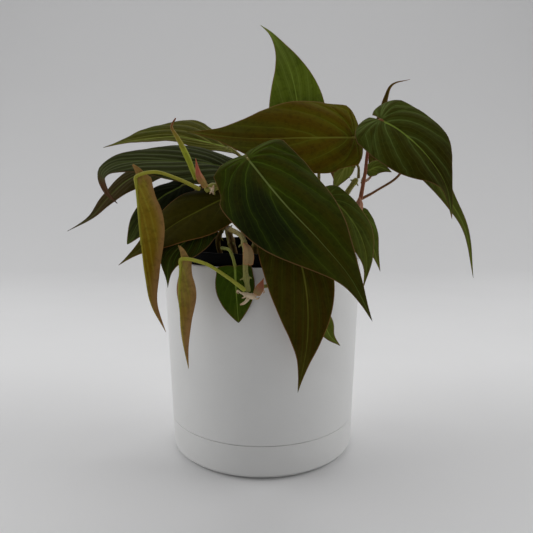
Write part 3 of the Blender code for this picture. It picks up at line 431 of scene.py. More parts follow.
def round_tube(path, radii, step=1.0, sides=12, bumps=(), cap=2):
    """Closed rod: path points, radius at each, bumps (place 0..1, height, half length in mm)."""
    path = np.asarray(path, float)
    chord = np.concatenate([[0], np.cumsum(np.linalg.norm(np.diff(path, axis=0), axis=1))])
    n = max(6, int(chord[-1] / step))
    c = spline(path, n)
    # radii follow the nearest place along the curve
    at = []
    d = np.concatenate([[0], np.cumsum(np.linalg.norm(np.diff(c, axis=0), axis=1))])
    for q in path:
        at.append(d[np.argmin(np.linalg.norm(c - q, axis=1))])
    at = np.maximum.accumulate(at) + np.arange(len(at)) * 1e-6
    rad = np.interp(d, at, radii)
    for place_, height, half in bumps:
        rad = rad + height * np.exp(-((d - place_ * d[-1]) / half) ** 2)
    t = np.gradient(c, axis=0)
    t /= np.linalg.norm(t, axis=1)[:, None]
    a = np.cross(t[0], (0, 0, 1.) if abs(t[0][2]) < .8 else (0, 1., 0))
    ang = 2 * math.pi * np.arange(sides) / sides
    verts, al, ac = [], [], []
    rings = []
    ends0 = [(-rad[0] * .5 * math.sin(q), rad[0] * math.cos(q)) for q in np.linspace(1.35, .35, cap)]
    ends1 = [(rad[-1] * .5 * math.sin(q), rad[-1] * math.cos(q)) for q in np.linspace(.35, 1.35, cap)]
    frames = []
    for k in range(n):
        a = a - (a @ t[k]) * t[k]
        a /= np.linalg.norm(a)
        frames.append((c[k], t[k], a.copy(), np.cross(t[k], a), rad[k], d[k] / d[-1]))
    for off, r in ends0:
        f = frames[0]
        rings.append((f[0] + f[1] * off, f[2], f[3], r, 0.))
    rings += [(f[0], f[2], f[3], f[4], f[5]) for f in frames]
    for off, r in ends1:
        f = frames[-1]
        rings.append((f[0] + f[1] * off, f[2], f[3], r, 1.))
    for p, u, w, r, x in rings:
        verts.append(p + r * (np.cos(ang)[:, None] * u + np.sin(ang)[:, None] * w))
        al += [x] * sides
        ac += list(np.arange(sides) / sides)
    faces = []
    for k in range(len(rings) - 1):
        for m in range(sides):
            q = (m + 1) % sides
            faces.append((k * sides + m, k * sides + q, (k + 1) * sides + q, (k + 1) * sides + m))
    faces.append(tuple(range(sides))[::-1])
    faces.append(tuple((len(rings) - 1) * sides + m for m in range(sides)))
    return np.vstack(verts), faces, np.array(al), np.array(ac)


def fine_blade(leaf, seed, thick=.42, pitch=1.0, relief=1.0):
    """Closed thin blade with sunk veins.  Returns verts, faces, attributes."""
    c, t, nn, _b = blade_frame(leaf['mid'], leaf['face'])
    length = np.linalg.norm(np.diff(c, axis=0), axis=1).sum()
    half = max(leaf['half'])
    nr = int(np.clip(length * 1.2 / pitch, 34, 118))
    nc = int(np.clip(half * 1.15 / pitch, 7, 27)) + 1
    rows = np.linspace(0, 1, nr)
    cols = np.linspace(0, 1, nc)
    pts = blade_points(leaf, rows, cols)
    um, vm = outline(leaf.get('kind', 'heart'), rows)
    um = np.where(um < 0, um * leaf.get('lobe', .10), um)
    um[-1] = 1
    r = np.where(rows > .30, ((np.clip(rows, .3, 1) - .30) / .70) ** 2.2, 0.)
    r = np.minimum(r, np.where(um > 0, um * .985, 0))
    r[-1] = 1
    w = cols[None, :]
    U = (1 - w)**2 * r[:, None] + 2 * w * (1 - w) * (r + (um - r) * .3)[:, None] + w**2 * um[:, None]
    V = 2 * w * (1 - w) * (vm * .66)[:, None] + w**2 * vm[:, None]
    sweep = leaf.get('sweep', .14)
    veins = leaf.get('veins', VEINS)
    vtab = ((-.5, 0) + veins + (1,), np.concatenate([[-5], np.arange(len(veins) + 2)]))
    index = {}
    verts, vc, dm, al, half_of = [], [], [], [], []
    ids = np.zeros((2, nr, nc), int)
    for side in (0, 1):
        for i in range(nr):
            for j in range(nc):
                if i == nr - 1:
                    key = 'tip'
                elif j == 0:
                    key = ('mid', i) if rows[i] > .30 else 'base'
                else:
                    key = (side, i, j)
                if key not in index:
                    index[key] = len(verts)
                    verts.append(pts[side][i][j])
                    vc.append(np.interp(rows[i] - sweep * w[0, j] * (1 - .35 * w[0, j]), *vtab))
                    dm.append(V[i, j] * leaf['half'][side])
                    al.append(U[i, j])
                    half_of.append(side)
                ids[side, i, j] = index[key]
    verts = np.array(verts)
    vc, dm, al = map(np.array, (vc, dm, al))
    tris = []
    for side in (0, 1):
        for i in range(nr - 1):
            for j in range(nc - 1):
                q = [ids[side, i, j], ids[side, i, j + 1], ids[side, i + 1, j + 1], ids[side, i + 1, j]]
                if side == 0:
                    q = q[::-1]
                for a in ((q[0], q[1], q[2]), (q[0], q[2], q[3])):
                    if len(set(a)) == 3:
                        tris.append(a)
    tris = np.array(tris)

    def normals(v):
        fn = np.cross(v[tris[:, 1]] - v[tris[:, 0]], v[tris[:, 2]] - v[tris[:, 0]])
        out = np.zeros_like(v)
        for k in range(3):
            np.add.at(out, tris[:, k], fn)
        return out / (np.linalg.norm(out, axis=1)[:, None] + 1e-12)
    nrm = normals(verts)
    # spacing of the veins, from the gradient of the vein number
    p0, p1, p2 = (verts[tris[:, k]] for k in range(3))
    fn = np.cross(p1 - p0, p2 - p0)
    area2 = (fn ** 2).sum(1)[:, None] + 1e-9
    g = (np.cross(fn, p2 - p1) * vc[tris[:, 0]][:, None] + np.cross(fn, p0 - p2) * vc[tris[:, 1]][:, None]
         + np.cross(fn, p1 - p0) * vc[tris[:, 2]][:, None]) / area2
    gv, cnt = np.zeros_like(verts), np.zeros(len(verts))
    for k in range(3):
        np.add.at(gv, tris[:, k], g)
        np.add.at(cnt, tris[:, k], 1)
    pit = 1 / np.clip(np.linalg.norm(gv / cnt[:, None], axis=1), 1 / 30, 4)
    directed = set()
    for a, b_, c_ in tris.tolist():
        directed.update(((a, b_), (b_, c_), (c_, a)))
    border = [(a, b_) for a, b_ in directed if (b_, a) not in directed]
    bv = sorted({a for e in border for a in e})
    bp = verts[bv]
    de = np.empty(len(verts))
    for k in range(0, len(verts), 1500):
        de[k:k + 1500] = np.sqrt(((verts[k:k + 1500, None] - bp[None]) ** 2).sum(2)).min(1)
    # sunk veins, raised between them, fading to the margin
    near = np.abs(vc - np.round(vc))
    dv = near * np.minimum(pit, 30)
    size = np.clip(half / 20, .25, 1.15) * relief * leaf.get('relief', .8)
    fade = np.clip(de / 3.5, 0, 1) * np.clip(dm / 2.5, .35, 1)
    h = (-.34 * np.exp(-(dv / .85) ** 2) + .55 * np.sin(math.pi * near) ** 2 * np.clip(pit / 9, 0, 1)) * fade
    h -= .42 * np.exp(-(dm / 1.1) ** 2) * np.clip((1 - al) * 1.6, 0, 1)
    h *= size
    h += (.30 * ripple(verts, seed, 26) + .12 * ripple(verts, seed + 7, 9)) * np.clip(1 - de / 14, .25, 1) * size
    mid = verts + nrm * h[:, None]
    nr2 = normals(mid)
    th = thick * (.62 + .38 * np.clip(de / 1.6, 0, 1))
    ridge = .22 * size * (np.exp(-(dv / .45) ** 2) * .5 * fade + np.exp(-(dm / .7) ** 2) * np.clip((1 - al) * 1.4, 0, 1))
    top = mid + nr2 * (th / 2)[:, None]
    bot = mid - nr2 * (th / 2 + ridge)[:, None]
    # rounded margin
    tang = np.zeros_like(mid)
    for a, b_ in border:
        e = mid[b_] - mid[a]
        tang[a] += e
        tang[b_] += e
    out = np.cross(tang[bv], nr2[bv])
    out /= np.linalg.norm(out, axis=1)[:, None] + 1e-12
    rim = mid[bv] + out * (th[bv] * .42)[:, None]
    n = len(mid)
    rid = {v: 2 * n + k for k, v in enumerate(bv)}
    faces = tris.tolist() + (tris[:, ::-1] + n).tolist()
    for a, b_ in border:
        faces += [(b_, a, rid[a], rid[b_]), (rid[b_], rid[a], a + n, b_ + n)]
    allv = np.vstack([top, bot, rim])

    def three(x):
        return np.concatenate([x, x, x[bv]])
    attrs = dict(ac=three(np.array(half_of, float)), vc=three(vc), pit=three(np.minimum(pit, 30)), dm=three(dm), de=three(de), al=three(al),
                 un=np.concatenate([np.zeros(n), np.ones(n), np.full(len(bv), .5)]))
    return allv, faces, attrs


def leaf_object(name, leaf, mats, seed):
    big = max(leaf['half']) > 8
    b = Build()
    v, f, at = fine_blade(leaf, seed, .42 if big else .36, 1.0 if big else .6)
    b.put(v, f, 0, **at)
    c, t, nn, _b = blade_frame(leaf['mid'], leaf['face'])
    length = np.linalg.norm(np.diff(c, axis=0), axis=1).sum()
    r = leaf.get('stalk_r', .95 if big else .72)
    st = [np.array(p, float) for p in leaf['stalk'][:-1]]
    st += [c[0] - nn[0] * .55 - t[0] * .6, c[0] + t[0] * 2.2 - nn[0] * (r * .86 + .12)]
    rad = [r * 1.35] + [r * 1.02] * (len(leaf['stalk']) - 2) + [r * 1.12, r * .86]
    for u, q in ((.08, .62), (.16, .52), (.28, .42), (.42, .30)):
        i = int(u * 80)
        st.append(c[i] - nn[i] * (.55 * np.clip(max(leaf['half']) / 20, .4, 1) + q * r * .8))
        rad.append(q * r)
    v, f, al, ac = round_tube(st, rad, 1.0 if big else .7, 12)
    b.put(v, f, 1, al=al, ac=ac)
    return b.make('fine_' + name, mats)


# --------------------------------------------------------------------------
# materials
# --------------------------------------------------------------------------
class Net:
    """Small helper to lay out shader nodes."""

    def __init__(self, name, rough, spec, **sockets):
        self.mat = bpy.data.materials.new(name)
        self.mat.use_nodes = True
        self.t = self.mat.node_tree
        self.bsdf = self.t.nodes['Principled BSDF']
        self.bsdf.inputs['Roughness'].default_value = rough
        self.bsdf.inputs['Specular IOR Level'].default_value = spec
        for k, v in sockets.items():
            self.bsdf.inputs[k.replace('_', ' ')].default_value = v

    def new(self, kind, **props):
        n = self.t.nodes.new(kind)
        for k, v in props.items():
            setattr(n, k, v)
        return n

    def put(self, sock, val):
        if isinstance(val, bpy.types.NodeSocket):
            self.t.links.new(val, sock)
        elif hasattr(val, '__len__') and len(val) == 3 and len(sock.default_value) == 4:
            sock.default_value = (*val, 1)
        else:
            sock.default_value = val

    def math(self, op, a, b=0.0, c=None, clamp=False):
        n = self.new('ShaderNodeMath', operation=op, use_clamp=clamp)
        self.put(n.inputs[0], a)
        self.put(n.inputs[1], b)
        if c is not None:
            self.put(n.inputs[2], c)
        return n.outputs[0]

    def attr(self, name):
        return self.new('ShaderNodeAttribute', attribute_name=name).outputs['Fac']

    def step(self, x, lo, hi, a=0.0, b=1.0):
        n = self.new('ShaderNodeMapRange', interpolation_type='SMOOTHSTEP')
        for s, v in zip(n.inputs[:5], (x, lo, hi, a, b)):
            self.put(s, v)
        return n.outputs[0]

    def mix(self, fac, a, b, mode='MIX'):
        n = self.new('ShaderNodeMix', data_type='RGBA', blend_type=mode)
        self.put(n.inputs[0], fac)
        self.put(n.inputs[6], a)
        self.put(n.inputs[7], b)
        return n.outputs[2]

    def noise(self, scale, detail=3.0, rough=.55, vec=None):
        n = self.new('ShaderNodeTexNoise')
        n.inputs['Scale'].default_value = scale
        n.inputs['Detail'].default_value = detail
        n.inputs['Roughness'].default_value = rough
        self.t.links.new(vec or self.coord(), n.inputs['Vector'])
        return n.outputs[0]

    def coord(self):
        if not hasattr(self, '_co'):
            self._co = self.new('ShaderNodeTexCoord').outputs['Object']
        return self._co

    def ramp(self, x, stops):
        n = self.new('ShaderNodeValToRGB')
        e = n.color_ramp.elements
        while len(e) < len(stops):
            e.new(.5)
        for k, (pos, col) in enumerate(stops):
            e[k].position = pos
            e[k].color = (*col, 1)
        self.put(n.inputs[0], x)
        return n.outputs[0]

    def bump(self, height, strength, dist):
        n = self.new('ShaderNodeBump')
        n.inputs['Strength'].default_value = strength
        n.inputs['Distance'].default_value = dist
        self.put(n.inputs['Height'], height)
        self.t.links.new(n.outputs[0], self.bsdf.inputs['Normal'])

    def colour(self, sock):
        self.t.links.new(sock, self.bsdf.inputs['Base Color'])
        return self.mat


def leaf_mat(name, look):
    """Velvety blade: ramp base to tip, darker or warmer between veins, pale
    veins and midrib (on some blades partly painted sheen), thin blushed margin,
    own colour underneath."""
    g = look.get('gain', 1.9)
    L = {k: lin(v, g) for k, v in look.items() if isinstance(v, tuple)}
    n = Net('mat_' + name, .70, .03, Sheen_Weight=look.get('sheen', .006), Sheen_Roughness=.4, Subsurface_Weight=0.0)
    co = n.coord()
    vc, pit, dm, de, al, un = (n.attr(k) for k in ('vc', 'pit', 'dm', 'de', 'al', 'un'))
    big = n.noise(38, 3)
    fine = n.noise(420, 4)
    wob = n.math('MULTIPLY_ADD', n.noise(120, 2), .22, vc)
    wob = n.math('SUBTRACT', wob, .11)
    pp = n.math('PINGPONG', wob, .5)
    dist = n.math('MULTIPLY', pp, pit)
    wide = n.step(dm, 0., 20., look.get('vw', .40), .14)
    lat = n.math('DIVIDE', dist, wide)
    lat = n.step(lat, .5, 1.6, 1., 0.)
    lat = n.math('MULTIPLY', lat, n.step(de, .2, 4., .2, 1.))
    lat = n.math('MULTIPLY', lat, n.step(al, .0, .45, 1.7, .9))
    halo = n.math('MULTIPLY', n.step(dist, .2, 2.4, 1., 0.), .30)
    w3 = n.math('MULTIPLY', wob, 4.)
    minor = n.math('MULTIPLY', n.math('PINGPONG', w3, .5), n.math('MULTIPLY', pit, .25))
    minor = n.math('MULTIPLY', n.step(minor, .06, .26, 1., 0.), .30)
    rib = n.math('DIVIDE', dm, n.step(al, 0., .8, look.get('mw', .50), .15))
    rib = n.step(rib, .5, 1.7, 1., 0.)
    rib = n.math('MULTIPLY', rib, n.step(al, .05, .8, 1., .45))
    x = n.math('ADD', al, n.math('MULTIPLY_ADD', big, .5, -.25))
    base = n.ramp(x, [(0., L['a']), (.34, L['b']), (.68, L['c']), (1., L['d'])])
    mid = n.math('MULTIPLY', n.step(pp, .12, .45), look.get('tw', .55))
    base = n.mix(mid, base, L['tint'])
    patch = n.math('MULTIPLY', n.step(big, .48, .66), .35)
    base = n.mix(patch, base, L['patch'] if 'patch' in L else L['b'])
    if 'core' in L:
        zone = n.math('MULTIPLY', n.step(n.math('ADD', al, n.math('MULTIPLY_ADD', big, .4, -.2)), .08, .26), n.step(al, .42, .72, 1., 0.))
        zone = n.math('MULTIPLY', zone, n.math('MULTIPLY', n.step(dm, 1., 6.), n.attr('ac')))
        base = n.mix(n.math('MULTIPLY', zone, .8), base, L['core'])
    speck = n.step(fine, .3, .7, .78, 1.22)
    base = n.mix(1., base, n.ramp(speck, [(0., (0, 0, 0)), (1., (1, 1, 1))]), 'MULTIPLY')
    v = n.math('MULTIPLY', n.math('MAXIMUM', lat, halo), look.get('vs', .45))
    col = n.mix(n.math('MULTIPLY', minor, look.get('vs', .62)), base, L['vein'])
    col = n.mix(n.math('MINIMUM', v, .9), col, L['vein'])
    col = n.mix(n.math('MULTIPLY', rib, look.get('ms', .9)), col, L['rib'])
    edge = n.step(de, look.get('ew', .12), look.get('ew', .12) * 2.2 + .22, 1., 0.)
    col = n.mix(n.math('MULTIPLY', edge, .75), col, L['edge'])
    ta = look.get('tipat', .93)
    col = n.mix(n.step(al, ta, ta + .07), col, L['tip'] if 'tip' in L else L['d'])
    # underside
    uc = n.ramp(x, [(0., L['under']), (.5, L['under2'] if 'under2' in L else L['under']), (1., L['under3'] if 'under3' in L else L['under'])])
    uc = n.mix(n.math('MULTIPLY', lat, look.get('us', .16)), uc, L['rib'])
    uc = n.mix(n.step(big, .42, .66, 0., .4), uc, L['b'])
    uc = n.mix(n.math('MULTIPLY', n.step(de, .1, look.get('ue', 1.4), 1., 0.), .8), uc, L['edge'])
    uc = n.mix(n.math('MULTIPLY', rib, .8), uc, L['rib'])
    uc = n.mix(1., uc, n.ramp(speck, [(0., (0, 0, 0)), (1., (1, 1, 1))]), 'MULTIPLY')
    col = n.mix(n.step(un, .55, .95), col, uc)
    height = n.math('ADD', n.math('MULTIPLY', fine, .35), n.math('MULTIPLY', n.noise(1400, 3), .3))
    n.bump(height, .35, .00025)
    return n.colour(col)


def stalk_mat(name, lo, mid, hi, gain=2.6):
    n = Net('mat_stalk_' + name, .45, .12, Subsurface_Weight=0.0)
    al, ac = n.attr('al'), n.attr('ac')
    big, fine = n.noise(90, 3), n.noise(520, 3)
    x = n.math('ADD', al, n.math('MULTIPLY_ADD', big, .5, -.25))
    col = n.ramp(x, [(0., lin(lo, gain)), (.45, lin(mid, gain)), (.95, lin(hi, gain))])
    streak = n.step(n.math('PINGPONG', n.math('MULTIPLY', ac, 9.), .5), .1, .4, .86, 1.06)
    col = n.mix(1., col, n.ramp(streak, [(0., (0, 0, 0)), (1., (1, 1, 1))]), 'MULTIPLY')
    col = n.mix(n.step(fine, .55, .75, 0., .5), col, lin(tuple(c * .62 for c in mid), gain))
    n.bump(fine, .25, .0003)
    return n.colour(col)


def plastic_mat(name, colour, rough, spec, var=.03):
    n = Net('mat_' + name, rough, spec)
    big, fine = n.noise(22, 3), n.noise(900, 2)
    dark = tuple(c * (1 - var) for c in colour)
    col = n.mix(n.step(big, .35, .65), dark, colour)
    col = n.mix(n.step(fine, .62, .75, 0., .5), col, tuple(c * (1 - 2 * var) for c in colour))
    r = n.step(big, .3, .7, rough - .05, rough + .05)
    n.t.links.new(r, n.bsdf.inputs['Roughness'])
    n.bump(fine, .08, .0002)
    return n.colour(col)


def soil_mat():
    n = Net('mat_potting_mix', .95, .04)
    a, b_, c_ = n.noise(160, 5, .65), n.noise(620, 4), n.noise(60, 3)
    col = n.ramp(a, [(.30, lin((9, 6, 5))), (.5, lin((24, 16, 11))), (.62, lin((40, 27, 18))), (.8, lin((66, 47, 32)))])
    col = n.mix(n.step(b_, .6, .72, 0., .7), col, lin((58, 40, 26)))
    col = n.mix(n.step(c_, .5, .7, 0., .6), col, lin((8, 5, 4)))
    n.bump(n.math('ADD', a, b_), .6, .0008)
    return n.colour(col)


def papery_mat(name, low, mid, high, gain=2.3):
    n = Net('mat_' + name, .55, .12, Subsurface_Weight=0.0)
    al, de, vc, pit = n.attr('al'), n.attr('de'), n.attr('vc'), n.attr('pit')
    big, fine = n.noise(150, 3), n.noise(800, 3)
    x = n.math('ADD', al, n.math('MULTIPLY_ADD', big, .5, -.25))
    col = n.ramp(x, [(0., lin(low, gain)), (.5, lin(mid, gain)), (1., lin(high, gain))])
    line = n.math('PINGPONG', n.math('MULTIPLY', vc, 2.), .5)
    col = n.mix(n.step(line, .05, .2, .35, 0.), col, lin(tuple(c * .7 for c in mid), gain))
    col = n.mix(n.step(de, .1, .5, .6, 0.), col, lin((128, 84, 52), gain))
    col = n.mix(n.step(fine, .6, .75, 0., .4), col, lin(tuple(c * .75 for c in low), gain))
    n.bump(fine, .3, .0003)
    return n.colour(col)


DEEP = dict(gain=2.0, a=(36, 46, 4), b=(34, 41, 2), c=(38, 40, 4), d=(46, 44, 18), tint=(44, 40, 3), vein=(60, 76, 18), rib=(84, 98, 42),
            edge=(86, 62, 38), under=(66, 42, 28), patch=(22, 30, 8))
GREEN = dict(DEEP, gain=2.1, a=(54, 63, 16), b=(58, 66, 20), c=(52, 58, 18), d=(56, 54, 26), tint=(56, 56, 12), vein=(84, 96, 36),
             rib=(104, 120, 48), patch=(44, 54, 14))
BRONZE = dict(DEEP, a=(60, 44, 6), b=(56, 46, 8), c=(54, 48, 10), d=(62, 54, 24), tint=(62, 46, 4), vein=(72, 72, 20),
              rib=(88, 88, 30), edge=(92, 62, 34), under=(88, 50, 28), patch=(44, 42, 8))
YOUNG = dict(gain=2.5, a=(92, 84, 26), b=(80, 62, 8), c=(88, 66, 22), d=(100, 76, 46), tint=(84, 62, 14), vein=(98, 84, 30), rib=(110, 106, 34),
             edge=(100, 74, 46), under=(98, 84, 26), under2=(78, 60, 6), under3=(94, 70, 36), patch=(70, 56, 6), tip=(118, 94, 70), ms=.8,
             vs=.25, us=.22, ue=4.5)
LOOKS = {
    'leaf_front_large': dict(DEEP, gain=1.85, core=(11, 18, 4), a=(42, 48, 3), b=(33, 40, 2), patch=(18, 28, 4), ms=.95, vs=.34, mw=.45, rib=(92, 102, 54)),
    'leaf_top_bronze': dict(BRONZE, gain=2.2, a=(64, 58, 3), b=(59, 51, 3), c=(52, 50, 8), d=(64, 62, 24), tint=(58, 40, 2), under=(80, 52, 24), vs=.38, vein=(72, 78, 18)),
    # painted light: the high gain and the brighter tip stops stand in for backlight shining through this upright blade,
    # on top of its own green
    'leaf_upright': dict(GREEN, gain=2.85, a=(58, 68, 18), b=(60, 70, 16), c=(62, 73, 18), d=(72, 80, 34), tint=(56, 66, 12), vs=.4),
    'leaf_right_heart': dict(GREEN, gain=1.8, a=(52, 58, 14), b=(44, 46, 6), c=(33, 28, 2), d=(58, 52, 22), tint=(40, 36, 2), tip=(98, 70, 50),
                             vein=(72, 84, 38), vs=.62),
    'leaf_right_hanging': dict(GREEN, a=(44, 46, 16), b=(46, 48, 16), c=(52, 52, 16), d=(58, 56, 20)),
    'leaf_right_up': dict(BRONZE, a=(52, 50, 12), b=(60, 44, 14), c=(66, 40, 18), d=(70, 36, 20)),
    # painted sheen: the pale vein colour and strong vein mix of this blade are partly its real paler veins and partly
    # painted velvet sheen
    'leaf_left_upper': dict(GREEN, gain=1.9, a=(64, 64, 24), b=(56, 54, 14), c=(56, 58, 18), d=(62, 60, 26), tint=(50, 50, 6), vein=(90, 90, 34), vs=.6),
    # painted sheen: the pale vein colour and strong vein mix of this blade are partly its real paler veins and partly
    # painted velvet sheen
    'leaf_left_middle': dict(DEEP, gain=1.3, tipat=.80, a=(46, 50, 22), b=(42, 46, 18), c=(42, 44, 14), d=(56, 48, 24), tint=(36, 36, 8), vein=(78, 86, 50), vs=.8,
                             tip=(66, 44, 24), under=(58, 42, 22)),
    'leaf_left_back': dict(DEEP, gain=1.5, vs=.3, a=(36, 40, 15), b=(44, 35, 11), c=(54, 38, 15), d=(60, 62, 40), vein=(60, 60, 30)),
    'leaf_left_bronze': dict(BRONZE, gain=2.3, a=(36, 34, 2), b=(36, 33, 2), c=(42, 38, 4), d=(50, 48, 14), tint=(38, 32, 2), vein=(54, 52, 12), rib=(70, 72, 22), vs=.18, tw=.3),
    # painted shade: the base half of this blade, its between-vein tint and its veins are painted near black for the
    # shadow it hangs in; only toward the tip is the blade its own green
    'leaf_left_dark': dict(DEEP, a=(12, 14, 4), b=(13, 15, 4), c=(40, 45, 16), d=(62, 70, 28), tint=(12, 13, 4), vein=(24, 28, 10)),
    'leaf_left_rim': dict(DEEP, a=(24, 28, 10), b=(22, 26, 8), c=(24, 26, 8), d=(30, 30, 14)),
    'leaf_young_left': dict(YOUNG),
    'leaf_young_front': dict(YOUNG, under=(100, 92, 44), under2=(92, 72, 34), under3=(90, 70, 42)),
    'leaf_small_front': dict(GREEN, gain=2.0, a=(28, 44, 1), b=(28, 45, 1), c=(32, 45, 1), d=(48, 52, 12), tint=(34, 48, 1), vs=.3, vein=(54, 70, 14)),
    'leaf_front_lower': dict(BRONZE, a=(36, 38, 4), b=(38, 36, 2), c=(36, 30, 2), d=(52, 48, 14), tint=(44, 30, 2), vein=(58, 56, 12), vs=.34,
                             tip=(60, 58, 20)),
    'leaf_small_right': dict(GREEN),
    'leaf_right_lower': dict(GREEN, vs=.2, ms=.45, a=(40, 48, 10), b=(46, 52, 14), c=(50, 54, 16), d=(54, 56, 20)),
    'leaf_right_rim': dict(GREEN, vs=.25, a=(46, 56, 12), b=(50, 60, 14)),
    'leaf_cluster_a': dict(GREEN, a=(86, 98, 30), b=(88, 98, 34), c=(90, 96, 34), d=(92, 92, 40), tint=(76, 86, 22), vein=(120, 128, 60), rib=(130, 136, 66)),
    'leaf_cluster_b': dict(GREEN, a=(70, 78, 24), b=(74, 82, 26)),
}
STALKS = {
    'leaf_young_left': ((98, 94, 30), (106, 104, 34), (100, 96, 30)),
    'leaf_young_front': ((100, 102, 36), (108, 108, 36), (102, 100, 34)),
    'leaf_right_up': ((98, 80, 60), (104, 70, 54), (84, 56, 30)),
    'leaf_right_heart': ((96, 58, 40), (98, 56, 40), (60, 66, 20)),
    'leaf_right_hanging': ((84, 54, 32), (80, 58, 30), (66, 64, 22)),
    'leaf_top_bronze': ((84, 82, 30), (90, 84, 34), (84, 76, 26)),
    'leaf_small_right': ((92, 92, 44), (104, 100, 50), (84, 86, 30)),
    'leaf_small_front': ((84, 88, 40), (92, 96, 44), (80, 86, 30)),
}


# --------------------------------------------------------------------------
# leaves
# --------------------------------------------------------------------------
SWEEP = {'leaf_front_lower': .34, 'leaf_left_middle': .40, 'leaf_left_upper': .36, 'leaf_left_back': .36, 'leaf_front_large': .34, 'leaf_top_bronze': .26,
         'leaf_right_heart': .27, 'leaf_young_left': .3, 'leaf_young_front': .3, 'leaf_upright': .22}
RELIEF = {'leaf_front_large': .5, 'leaf_left_bronze': .4, 'leaf_front_lower': .5, 'leaf_left_middle': 1.0, 'leaf_left_upper': 1.0, 'leaf_top_bronze': .6}
FEW = {'leaf_front_large': (.02, .13, .25, .42, .62), 'leaf_top_bronze': (.03, .14, .27, .45, .65), 'leaf_right_heart': (.03, .15, .28, .46, .66),
       'leaf_left_bronze': (.05, .17, .30, .48, .68), 'leaf_right_lower': (.05, .17, .30, .48, .68), 'leaf_right_rim': (.05, .17, .30, .48, .68)}
for seed, (name, leaf) in enumerate(LEAVES.items()):
    leaf = dict(leaf, veins=FEW.get(name, VEINS), sweep=SWEEP.get(name, .16), relief=RELIEF.get(name, .75))
    look = LOOKS.get(name)
    if look is None:
        pick = hsh(seed, 3)
        look = dict(BRONZE if pick < .3 else GREEN if pick < .7 else DEEP)
        look['a'], look['b'] = look['b'], look['a']
    lo, mid_, hi = STALKS.get(name, ((86, 74, 44), (84, 80, 36), (72, 78, 28)))
    mats = [leaf_mat(name, look), stalk_mat(name, lo, mid_, hi)]
    place(leaf_object(name, leaf, mats, seed + 1), name)

# --------------------------------------------------------------------------
# vines with their nodes, the unopened leaf, sheaths and roots
# --------------------------------------------------------------------------
VINE_NODES = {
    'vine_center': (.32, .68, .97), 'vine_left': (.30, .52, .74, .96), 'vine_front': (.28, .5, .74, .93),
    'vine_right': (.4, .75, .98), 'vine_right_upper': (.35, .7, .97), 'vine_back': (.35, .7, .97),
    'vine_back_left': (.35, .7, .97), 'vine_back_right': (.4, .8, .97),
}
stem_mat = stalk_mat('vines', (62, 44, 26), (82, 76, 30), (98, 96, 44))
front_mat = stalk_mat('front_vine', (62, 46, 28), (104, 86, 52), (98, 98, 54), 2.35)
for seed, (name, places) in enumerate(VINE_NODES.items()):
    path, radii = RODS[name]
    path = [np.array(p, float) for p in path]
    d = path[0] - path[1]
    path = [path[0] + d / np.linalg.norm(d) * 5.0] + path
    rr = np.interp(np.linspace(0, 1, len(path)), np.linspace(0, 1, len(radii)), radii)
    b = Build()
    v, f, al, ac = round_tube(path, rr * .92, .55, 16, [(q, .42, 1.3) for q in places] + [(q + .03, -.12, .8) for q in places])
    b.put(v, f, 0, al=al, ac=ac)
    c = spline(path, 200)
    for k, q in enumerate(places):
        # leaf scar ring and a pair of root bumps at each node
        i = min(int(q * 199), 197)
        t = c[i + 1] - c[i]
        t /= np.linalg.norm(t)
        side = np.cross(t, (0, 0, 1.))
        side /= np.linalg.norm(side) + 1e-9
        for m in range(2):
            a = 2 * math.pi * hsh(seed, k, m)
            dr = side * math.cos(a) + np.cross(t, side) * math.sin(a)
            p0 = c[i] + dr * rr.mean() * .6
            v, f, al, ac = round_tube([p0, p0 + dr * (1.0 + .5 * hsh(k, m)) - (0, 0, .25), p0 + dr * (1.7 + .7 * hsh(m, k)) - (0, 0, .7)],
                                      (.55, .42, .24), .3, 8)
            b.put(v, f, 0, al=.85, ac=ac)
    place(b.make('fine_' + name, [front_mat if name in ('vine_front',) else stem_mat]), name)

b = Build()
path, radii = RODS['new_leaf_spear']
v, f, al, ac = round_tube(path, radii, .4, 20)
# rolled blade: a step winding round the spear
c = spline(path, 400)
near = np.argmin(((v[:, None] - c[None]) ** 2).sum(2), axis=1)
away = v - c[near]
turn = (ac + al * .8) % 1
v = c[near] + away * (1 - .22 * np.exp(-((turn - .5) / .05) ** 2) + .10 * turn)[:, None]
b.put(v, f, 0, al=al, ac=ac)
spear = stalk_mat('spear', (104, 108, 34), (112, 118, 30), (96, 52, 34), 2.1)
place(b.make('fine_new_leaf_spear', [spear]), 'new_leaf_spear')

PAPER = {
    'sheath_left': ((96, 90, 40), (120, 66, 50), (122, 50, 42)),
    'sheath_front': ((104, 86, 58), (112, 94, 64), (108, 80, 58)),
    'sheath_front_low': ((96, 82, 52), (98, 58, 42), (88, 44, 32)),
    'sheath_right': ((120, 92, 66), (128, 92, 72), (110, 74, 58)),
}
for seed, (name, s) in enumerate(SHEATHS.items()):
    s = dict(s, wave=.25)
    b = Build()
    v, f, at = fine_blade(s, 40 + seed, .24, .28, .25)
    b.put(v, f, 0, **at)
    place(b.make('fine_' + name, [papery_mat(name, *PAPER[name])]), name)

